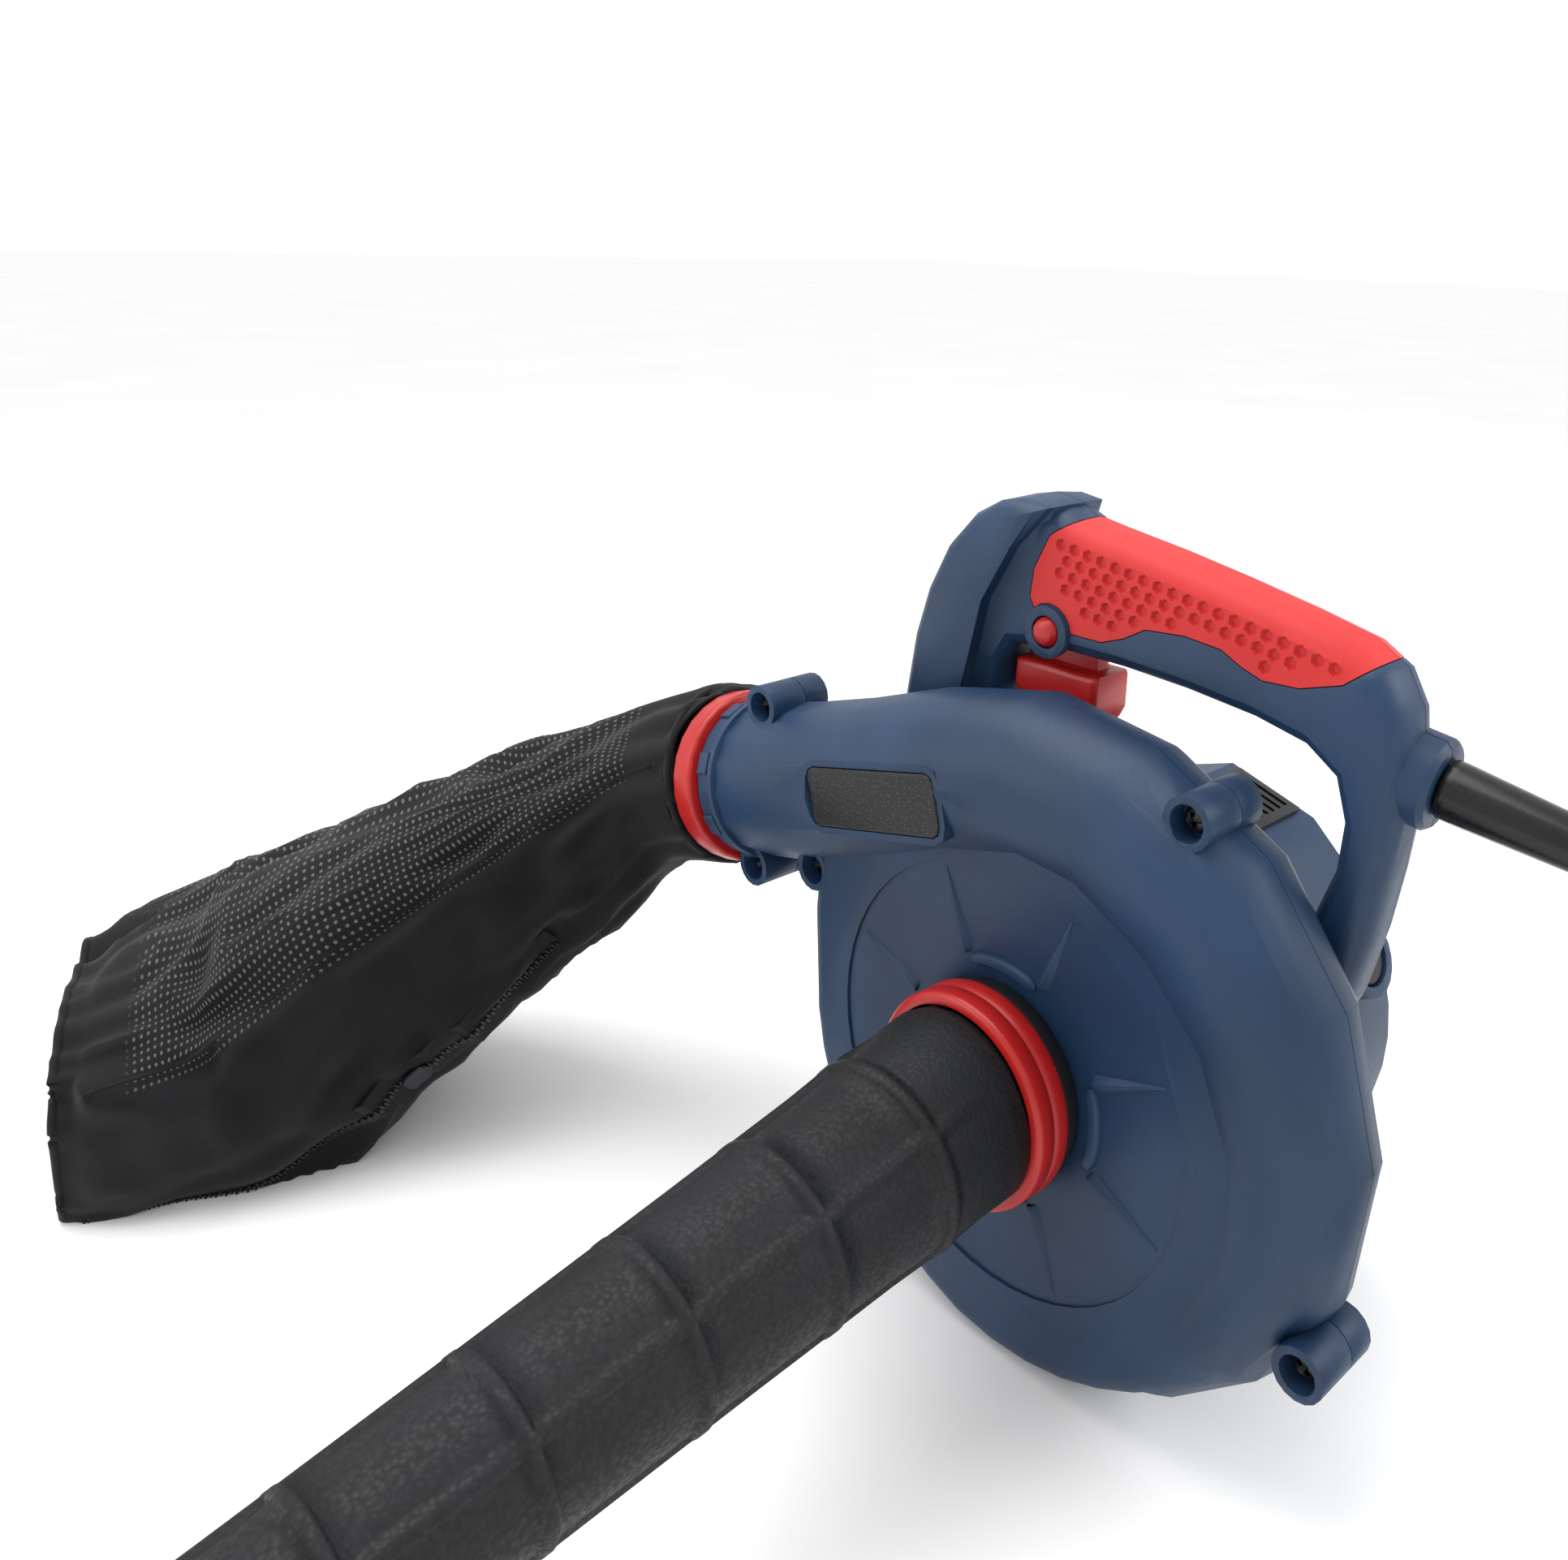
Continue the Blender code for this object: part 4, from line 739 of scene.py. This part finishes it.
def makeNozzle():
    lean = Vector(nozzle["lean"]).normalized()
    origin = Vector(nozzle["start"])
    along, side, up = axes(lean)
    count = 144
    stops = {0.0, 0.8, 224.0, 225.2, 226.0}
    for step in range(0, 226, 6):
        stops.add(float(step))
    for middle in nozzle["ringRibs"]:
        for offset in (-1, -0.75, -0.4, 0, 0.4, 0.75, 1):
            stops.add(middle + offset * nozzle["ringWide"] * 0.6)
    outside, inside = [], []
    for reach in sorted(stops):
        base = nozzleRadius(reach)
        edge = 0.8 if reach in (0.0, 226.0) else 0.0
        ring = []
        for i in range(count):
            a = 2 * math.pi * i / count
            rise = 0.0
            for number, middle in enumerate(nozzle["ringRibs"]):
                share = abs(reach - middle) / (nozzle["ringWide"] * 0.6)
                if share < 1:
                    rise = max(rise, nozzle["ringRise"] * min(1.0, 1.5 * (1 - share * share)))
            for heading in nozzle["longAt"]:
                away = abs((math.degrees(a) - heading + 180) % 360 - 180)
                share = math.radians(away) * base / (nozzle["longWide"] * 0.5)
                fade = min(1.0, max(0.0, (reach - 14) / 8), max(0.0, (222 - reach) / 6))
                if share < 1.3:
                    rise = max(rise, nozzle["longRise"] * fade * min(1.0, max(0.0, 1.6 * (1.3 - share))))
            r = base - edge + rise
            ring.append((origin + lean * reach + (side * math.cos(a) + up * math.sin(a)) * r + fanAxis) * mm)
        outside.append(ring)
    for reach in (226.0, 225.2, 180.0, 130.0, 80.0, 40.0, 8.0, 0.0):
        r = nozzleRadius(reach) - nozzle["wall"] + (0.6 if reach in (226.0, 0.0) else 0.0)
        ring = []
        for i in range(count):
            a = 2 * math.pi * i / count
            ring.append((origin + lean * reach + (side * math.cos(a) + up * math.sin(a)) * r + fanAxis) * mm)
        inside.append(ring)
    # The start is square to the fan's axis, as the ring that it meets
    for ring in (outside[0], inside[-1]):
        for p in ring:
            p.y = at(0, nozzle["start"][1], 0).y
    points, faces = ringStack(outside + inside, closed=True)
    made = meshObject("nozzleTube", points, faces, softPlastic)
    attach(made, "nozzle")
    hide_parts("nozzle_tube")


makeNozzle()

bayonet = {"outer": 28.8, "inner": 25.8, "front": -15.8, "back": -3.85, "knobs": 12}


def makeBayonetRing():
    front, back, outer, inner = bayonet["front"], bayonet["back"], bayonet["outer"], bayonet["inner"]
    middle = (front + back) / 2
    profile = [(inner, front), (outer - 1.4, front), (outer - 0.4, front + 0.5), (outer, front + 1.4)]
    profile += [(outer, middle - 0.5), (outer - 0.35, middle - 0.2)]
    profile += [(outer - 0.35, middle + 0.2), (outer, middle + 0.5)]
    profile += [(outer, back - 1.4), (outer - 0.4, back - 0.5), (outer - 1.4, back), (inner, back)]
    made = turned("nozzleRing", profile, redAbs, at(0, 0, 0), (0, 1, 0), 96, True)
    shade(made, 50)
    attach(made, "nozzle")
    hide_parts("nozzle_ring")


makeBayonetRing()
print("nozzle made")

# ---- Grip skins with dimples ----

grip = {"dimple": 1.95, "deep": 1.1, "pitchX": 4.6, "pitchZ": 3.9, "rows": 6, "columns": 20, "seam": 43.0}


def gripTop(x):
    return 147.0 - 0.171 * (x + 9) - max(0.0, x - 58) * 0.06


def gripBottom(x):
    line = ((-21, 124), (-12, 119.5), (4, 117), (18, 123), (41, 123), (53, 118), (74, 122), (84, 129))
    for (x0, z0), (x1, z1) in zip(line, line[1:]):
        if x <= x1:
            return z0 + (z1 - z0) * max(0.0, (x - x0) / (x1 - x0))
    return line[-1][1]


def dimpleShape():
    rings = []
    for rise, radius in ((-grip["deep"], 0.55), (-0.15, 0.95), (2.0, 1.25)):
        ring = []
        for i in range(6):
            a = math.pi * i / 3 + math.pi / 6
            reach = radius * grip["dimple"]
            ring.append(Vector((math.cos(a) * reach, math.sin(a) * reach, rise)) * mm)
        rings.append(ring)
    points, faces = ringStack(rings)
    return meshObject("dimpleShape", points, faces, redTpe, False)


def makeGrip(node, name, side, depth):
    face = grip["seam"] + side * depth
    spots = []
    for row in range(grip["rows"]):
        for column in range(grip["columns"]):
            x = -11 + column * grip["pitchX"] + (row % 2) * grip["pitchX"] / 2
            z = gripTop(x) - 7.2 - row * grip["pitchZ"]
            if z < gripBottom(x) + 2.6 or x > 78 or (x + 14) ** 2 + (z - 115.5) ** 2 < 11.5**2:
                continue
            spots.append((at(x, face, z), (0, side, 0), (1, 0, -0.17)))
    cutter = repeated("dimples", dimpleShape(), spots, redTpe)
    made = carveNode(node, cutter, name, redTpe)


makeGrip("grip_left", "gripLeft", -1, 13.0)
makeGrip("grip_right", "gripRight", 1, 11.5)
print("grips made")

# ---- Motor housing's small parts ----

vent = {"slots": 9, "pitch": 3.3, "wide": 1.5, "long": 16.0, "turn": 73.0}


def makeVentPanel():
    a = math.radians(vent["turn"])
    out = Vector((math.cos(a), 0, math.sin(a)))
    low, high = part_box("vent_panel")
    middle = (low + high) / 2
    long, wide = vent["long"] / 2, vent["wide"] / 2
    corners = ((-long, -wide), (long, -wide), (long, wide), (-long, wide))
    points, faces = ringStack([[Vector((x, y, z)) * mm for x, y in corners] for z in (-0.1, 3.0)])
    slot = meshObject("ventSlot", points, faces, blackAbs, False)
    spots = []
    for i in range(vent["slots"]):
        y = (i - (vent["slots"] - 1) / 2) * vent["pitch"] * mm
        spots.append((middle + Vector((0, y, 0)), out, (-out.z, 0, out.x)))
    cutter = repeated("ventSlots", slot, spots, blackAbs)
    made = carveNode("vent_panel", cutter, "ventPanel", blackAbs, 0.25)


makeVentPanel()


def makeBrushCap(node, name, sign):
    a = math.radians(25)
    out = Vector((math.cos(a), 0, math.sin(a))) * sign
    low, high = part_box(node)
    top = at(0, 87, 0) + out * 64.9 * mm
    corners = ((-10, -0.9), (10, -0.9), (10, 0.9), (-10, 0.9))
    points, faces = ringStack([[Vector((x, y, z)) * mm for x, y in corners] for z in (-1.6, 3.0)])
    slot = meshObject("capSlotShape", points, faces, blackAbs, False)
    cutter = repeated("capSlot", slot, [(top, out, (-out.z, 0.6, out.x))], blackAbs)
    made = carveNode(node, cutter, name, blackAbs, 0.25)


makeBrushCap("brush_cap_right", "brushCapRight", 1)
makeBrushCap("brush_cap_left", "brushCapLeft", -1)
print("small parts made")

# ---- Outlet neck: bayonet band ----

neck = {
    "end": (-118.4, 13.0, 47.2),
    "tilt": 14.0,
    "radius": 24.5,
    "bandFrom": -9.0,
    "bandTo": -1.0,
    "lugs": 8,
}
neckAxis = Vector((-math.cos(math.radians(neck["tilt"])), 0, -math.sin(math.radians(neck["tilt"]))))


def makeNeckBand():
    profile = [(neck["radius"] - 0.4, neck["bandFrom"]), (neck["radius"] + 0.9, neck["bandFrom"] + 0.4)]
    profile += [(neck["radius"] + 1.2, neck["bandFrom"] + 1.0)]
    profile += [(neck["radius"] + 1.2, neck["bandFrom"] + 2.0)]
    profile += [(neck["radius"] + 0.5, neck["bandFrom"] + 2.6), (neck["radius"] + 0.5, neck["bandTo"] - 0.4)]
    profile += [(neck["radius"] + 0.1, neck["bandTo"]), (neck["radius"] - 0.4, neck["bandTo"])]
    band = turned("neckBand", profile, blueAbs, at(*neck["end"]), neckAxis, 96, True)
    shade(band, 40)
    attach(band, "housing")
    half = 3.4
    rings = []
    for rise, grown in ((-0.3, 0.0), (0.7, 0.0), (1.0, -0.35)):
        corners = ((-1, -1), (1, -1), (1, 1), (-1, 1))
        rings.append([Vector((x * (half + grown), y * (2.3 + grown), rise)) * mm for x, y in corners])
    points, faces = ringStack(rings)
    lug = meshObject("neckLug", points, faces, blueAbs, False)
    along, side, up = axes(neckAxis)
    spots = []
    for i in range(neck["lugs"]):
        a = 2 * math.pi * (i + 0.5) / neck["lugs"]
        out = side * math.cos(a) + up * math.sin(a)
        place = at(*neck["end"]) + (out * (neck["radius"] + 0.4) + neckAxis * -3.9) * mm
        spots.append((place, out, out.cross(neckAxis)))
    lugs = repeated("neckLugs", lug, spots, blueAbs)
    easeEdges(lugs, 0.25)
    shade(lugs, 36)
    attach(lugs, "housing")


makeNeckBand()
print("neck made")

# ---- Dust bag ----

bag = {
    "start": 9.6,  # along the neck's axis from its end
    "rings": (
        ((-162.6, 1.1, 32.5), (28.0, 26.5)),
        ((-191.8, -21.7, 4.3), (39.0, 35.0)),
        ((-222.6, -56.8, -22.0), (50.0, 40.5)),
        ((-248.2, -94.8, -50.0), (62.0, 46.0)),
        ((-267.2, -134.3, -58.6), (59.0, 38.0)),
        ((-274.0, -151.3, -59.0), (54.0, 33.0)),
    ),
    "between": 10,
    "around": 128,
    "fold": 4.2,
    "pleats": 13,
    "cloth": 1.0,
    "zipAt": 216.0,
}
floorHeight = -83.5


def bagSections():
    # Centre, half sizes, squareness and share of the length at close steps along the bag
    end = Vector(neck["end"])
    start = end + neckAxis * (bag["start"] + 0.4)
    given = [(start, (27.4, 27.4), 1.0), (start + neckAxis * 9, (27.6, 27.6), 1.0)]
    for number, (centre, half) in enumerate(bag["rings"]):
        given.append((Vector(centre), half, 1.0 if number < 1 else 0.76))
    centres = smoothLine([entry[0] for entry in given], bag["between"])
    sizes = smoothLine([Vector((*entry[1], entry[2])) for entry in given], bag["between"])
    made, length = [], 0.0
    for number, centre in enumerate(centres):
        if number:
            length += (centre - centres[number - 1]).length
        before, after = centres[max(number - 1, 0)], centres[min(number + 1, len(centres) - 1)]
        made.append((centre, sizes[number], (after - before).normalized(), length))
    return made


def bagPoint(section, a, out=0.0, plain=False):
    centre, size, along, length = section
    side = along.cross(Vector((0, 0, 1))).normalized()
    up = side.cross(along)
    c, s = math.cos(a), math.sin(a)
    x = math.copysign(abs(c) ** size.z, c)
    z = math.copysign(abs(s) ** size.z, s)
    p = centre + side * x * size.x + up * z * size.y
    outward = (side * c + up * s).normalized()
    move = out
    if not plain:
        # Pleats at the mouth fade into soft sags and creases that run down the bag
        pleat = math.exp(-max(0.0, length - 4) / 26) * min(1.0, length / 5)
        move += 1.5 * pleat * math.sin(a * bag["pleats"])
        slack = min(1.0, max(0.0, (length - 22) / 40))
        q = Vector((c * 1.5, s * 1.5, length / 62 + 3.1))
        crease = noise.noise(q) * 1.4 - abs(noise.noise(q * 1.9 + Vector((7, 1, 4)))) * 2.6
        ripple = noise.noise(Vector((c * 3.2, s * 3.2, length / 24)))
        move += slack * bag["fold"] * (crease + 0.6 + 0.5 * ripple)
        move -= slack * 1.2
    p = p + outward * move
    p.z = max(p.z, floorHeight + 0.4)
    return p


sections = bagSections()
bagLength = sections[-1][3]


def inWindow(a, length):
    # The net window takes up the upper side
    turn = math.degrees(a) % 360
    along = length / bagLength
    return 28 < turn < 160 and 0.12 < along < 0.9


def makeBag():
    rings = []
    around = bag["around"]
    for section in sections:
        rings.append([(bagPoint(section, 2 * math.pi * i / around) + fanAxis) * mm for i in range(around)])
    # The far end is a flat squared panel that sags a little
    last = sections[-1]
    for share, push in ((0.82, 1.6), (0.55, 1.2), (0.25, 0.3), (0.06, 0.0)):
        ring = []
        for i in range(around):
            p = bagPoint(last, 2 * math.pi * i / around)
            q = last[0] + (p - last[0]) * share + last[2] * (push - 1.6)
            ring.append((q + fanAxis) * mm)
        rings.append(ring)
    points = [p for ring in rings for p in ring]
    faces, uvs = [], []
    girth = 0.24  # the cloth's mean width round the bag, in metres
    reaches = [section[3] for section in sections] + [bagLength + 9 * (step + 1) for step in range(4)]
    for row in range(len(rings) - 1):
        for i in range(around):
            j = (i + 1) % around
            low, high = row * around, (row + 1) * around
            faces.append((low + i, low + j, high + j, high + i))
            low, high = reaches[row] * mm, reaches[row + 1] * mm
            left, right = i / around * girth, (i + 1) / around * girth
            uvs.append(((left, low), (right, low), (right, high), (left, high)))
    tip = last[0] - last[2] * 1.6
    points.append((tip + fanAxis) * mm)
    for i in range(around):
        low = (len(rings) - 1) * around
        faces.append((low + i, low + (i + 1) % around, len(points) - 1))
        uvs.append(((0, 0), (0.001, 0), (0.001, 0.001)))
    mesh = bpy.data.meshes.new("dustBag")
    mesh.from_pydata(points, [], faces)
    layer = mesh.uv_layers.new(name="cloth")
    spot = 0
    for corners in uvs:
        for uv in corners:
            layer.data[spot].uv = uv
            spot += 1
    window = mesh.attributes.new("netWindow", "FLOAT", "POINT")
    for row, section in enumerate(sections):
        for i in range(around):
            if inWindow(2 * math.pi * i / around, section[3]):
                window.data[row * around + i].value = 1.0
    mesh.materials.append(bagCloth)
    for face in mesh.polygons:
        face.use_smooth = True
    made = bpy.data.objects.new("dustBag", mesh)
    scene.collection.objects.link(made)
    shaped = bmesh.new()
    shaped.from_mesh(mesh)
    bmesh.ops.recalc_face_normals(shaped, faces=shaped.faces)
    shaped.faces.ensure_lookup_table()
    outward = shaped.faces[0].calc_center_median() - (sections[0][0] + fanAxis) * mm
    if shaped.faces[0].normal.dot(outward) < 0:
        bmesh.ops.reverse_faces(shaped, faces=shaped.faces)
    shaped.to_mesh(mesh)
    shaped.free()
    area = sum(face.area for face in mesh.polygons)
    wall = made.modifiers.new("cloth", "SOLIDIFY")
    wall.thickness = bag["cloth"] * mm
    wall.offset = -1
    flattened(made)
    return made, area


def seamTube(name, line, radius, material, closed=False, sides=8):
    # A round piping along a line of points in metres
    rings = []
    count = len(line)
    for i in range(count):
        before = line[i - 1] if closed or i else line[0]
        after = line[(i + 1) % count] if closed or i < count - 1 else line[-1]
        along, side, up = axes(after - before)
        ring = []
        for k in range(sides):
            a = 2 * math.pi * k / sides
            p = line[i] + (side * math.cos(a) + up * math.sin(a)) * radius * mm
            p.z = max(p.z, 0.3 * mm)
            ring.append(p)
        rings.append(ring)
    points, faces = ringStack(rings, closed)
    return meshObject(name, points, faces, material)


def makeBagTrim():
    made = []
    around = 96
    hem = [(bagPoint(sections[-1], 2 * math.pi * i / around, 0.3) + fanAxis) * mm for i in range(around)]
    made.append(seamTube("bagHem", hem, 1.5, bagCloth, True))
    collar = []
    for i in range(around):
        collar.append((bagPoint(sections[8], 2 * math.pi * i / around, 0.6, True) + fanAxis) * mm)
    made.append(seamTube("bagMouthCord", collar, 1.4, bagCloth, True))
    # Bound seams down both sides of the net window
    for number, turn in enumerate((26, 154)):
        line = []
        for section in sections[14:]:
            line.append((bagPoint(section, math.radians(turn), 0.3) + fanAxis) * mm)
        made.append(seamTube(f"bagSeam{number + 1}", line, 1.0, bagCloth))
    # Zip tape and its teeth
    tapeRings, toothSpots = [], []
    zipAngle = math.radians(bag["zipAt"])
    kept = sections[30:-4]
    tapeLine = [bagPoint(section, zipAngle, 0.5) for section in kept]
    outs = []
    for section in kept:
        outs.append((bagPoint(section, zipAngle, 6.0) - bagPoint(section, zipAngle)).normalized())
    for i, point in enumerate(tapeLine):
        before, after = tapeLine[max(i - 1, 0)], tapeLine[min(i + 1, len(tapeLine) - 1)]
        along = (after - before).normalized()
        across = along.cross(outs[i]).normalized()
        ring = []
        for s, rise in ((-7.5, -0.5), (-7.5, 0.2), (-1.6, 0.7), (1.6, 0.7), (7.5, 0.2), (7.5, -0.5)):
            q = point + across * s + outs[i] * rise
            q.z = max(q.z, floorHeight + 0.3)
            ring.append((q + fanAxis) * mm)
        tapeRings.append(ring)
    points, faces = ringStack(tapeRings)
    tape = meshObject("zipTape", points, faces, bagCloth)
    shade(tape, 30)
    made.append(tape)
    closeLine = smoothLine(tapeLine, 14)
    closeOut = smoothLine(outs, 14)
    travelled, side = 0.0, 1
    for i in range(1, len(closeLine) - 1):
        travelled += (closeLine[i] - closeLine[i - 1]).length
        if travelled < 1.15:
            continue
        travelled = 0.0
        side = -side
        along = (closeLine[i + 1] - closeLine[i - 1]).normalized()
        across = along.cross(closeOut[i]).normalized()
        place = (closeLine[i] + across * side * 0.55 + closeOut[i] * 0.9 + fanAxis) * mm
        toothSpots.append((place, closeOut[i], across))
    tooth = []
    for rise, grown in ((-0.3, 0.0), (0.5, 0.0), (0.8, -0.15)):
        corners = ((-1, -1), (1, -1), (1, 1), (-1, 1))
        tooth.append([Vector((x * (1.1 + grown), y * (0.42 + grown), rise)) * mm for x, y in corners])
    points, faces = ringStack(tooth)
    teeth = repeated("zipTeeth", meshObject("zipTooth", points, faces, blackAbs, False), toothSpots, blackAbs)
    made.append(teeth)
    for piece in made:
        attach(piece, "bag")
    return made


dustBag, clothArea = makeBag()
trim = makeBagTrim()
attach(dustBag, "bag")
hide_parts("bag_body")
print("bag made", round(clothArea, 4))

# ---- Power cord ----

cord = {
    "radius": 3.6,
    "coil": (212.0, 66.0),
    "outer": 46.6,
    "inner": 39.3,
    "layer": 7.35,
    "lay": -83.5 + 3.6 + 0.3,
    "plug": (222.0, 172.0, -83.5 + 10.5),
}


def coilPoints():
    # From the west side anticlockwise through three layers, then off towards +Y at the east side
    def between(a, start, end):
        share = min(1.0, max(0.0, (a - start) / (end - start)))
        return share * share * (3 - 2 * share)

    made = []
    for a in range(180, 1801, 12):
        radius = cord["outer"] + (cord["inner"] - cord["outer"]) * between(a, 480, 540)
        radius += (cord["outer"] - cord["inner"]) * between(a, 1080, 1140)
        rise = cord["layer"] * (between(a, 780, 840) + between(a, 1380, 1440))
        x = cord["coil"][0] + math.cos(math.radians(a)) * radius
        y = cord["coil"][1] + math.sin(math.radians(a)) * radius
        made.append(Vector((x, y, cord["lay"] + rise)))
    return made


def cordRoute():
    gland = Vector((87.0, 44.0, 100.5))
    axis = Vector((0.985, 0.06, -0.16)).normalized()
    start = gland + axis * (7.0 + 0.3 + 62.0 + 0.2)
    lay = cord["lay"]
    free = [
        start,
        start + axis * 7,
        start + axis * 16,
        Vector((196, 64, 68)),
        Vector((216, 80, 30)),
        Vector((228, 104, -18)),
        Vector((228, 127, -54)),
        Vector((213, 142, lay + 6)),
        Vector((188, 143, lay)),
        Vector((165, 128, lay)),
        Vector((157, 100, lay)),
    ]
    px, py, pz = cord["plug"]
    tail = [
        Vector((262, 88, lay + 11)),
        Vector((266, 112, lay + 5)),
        Vector((268, 138, lay + 1)),
        Vector((259, 162, lay + 3)),
        Vector((238, 172, pz)),
        Vector((px + 0.5, py, pz)),
    ]
    return free, coilPoints(), tail


free, coil, tail = cordRoute()
route = smoothLine(free + coil + tail, 4)
route = [(p + fanAxis) * mm for p in route]
data = bpy.data.curves.new("powerCord", "CURVE")
data.dimensions = "3D"
line = data.splines.new("POLY")
line.points.add(len(route) - 1)
for target, point in zip(line.points, route):
    target.co = (*point, 1.0)
line.use_smooth = True
data.bevel_depth = cord["radius"] * mm
data.bevel_resolution = 4
data.use_fill_caps = True
data.materials.append(cordPvc)
powerCord = bpy.data.objects.new("powerCord", data)
scene.collection.objects.link(powerCord)
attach(powerCord, "housing")
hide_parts("power_cord", "cord_coil", "cord_tail")

# ---- Floor and light ----


def paper():
    # Matt studio paper
    made, tree, shader = startMaterial("white backdrop paper, matt", Roughness=0.9)
    coordinates = addNode(tree, "ShaderNodeTexCoord").outputs["Object"]
    tree.links.new(mottled(tree, coordinates, "#FAFAFA", "#FDFDFD", 300), shader.inputs["Base Color"])
    return made


mesh = bpy.data.meshes.new("studioFloor")
mesh.from_pydata([(-12, -12, 0), (12, -12, 0), (12, 12, 0), (-12, 12, 0)], [], [(0, 1, 2, 3)])
mesh.materials.append(paper())
studioFloor = bpy.data.objects.new("studioFloor", mesh)
scene.collection.objects.link(studioFloor)

world = bpy.data.worlds.new("soft surround")
world.use_nodes = True
world.node_tree.nodes["Background"].inputs["Color"].default_value = linear("#FFFFFF")
world.node_tree.nodes["Background"].inputs["Strength"].default_value = 1.0
scene.world = world

lamps = (
    ("overhead softbox", (-250, -100, 900), (0, 20, 0), 0.8, 7.0),
    ("side softbox", (-700, -900, 500), (-60, 0, 0), 0.6, 3.0),
    ("far softbox", (700, 500, 600), (0, 20, 40), 0.6, 5.0),
)
for name, place, target, size, power in lamps:
    data = bpy.data.lights.new(name, "AREA")
    data.shape = "SQUARE"
    data.size = size
    data.energy = power
    lamp = bpy.data.objects.new(name, data)
    aim = at(*target) - at(*place)
    lamp.matrix_world = Matrix.Translation(at(*place)) @ aim.to_track_quat("-Z", "Y").to_matrix().to_4x4()
    scene.collection.objects.link(lamp)
scene.view_settings.view_transform = "Standard"
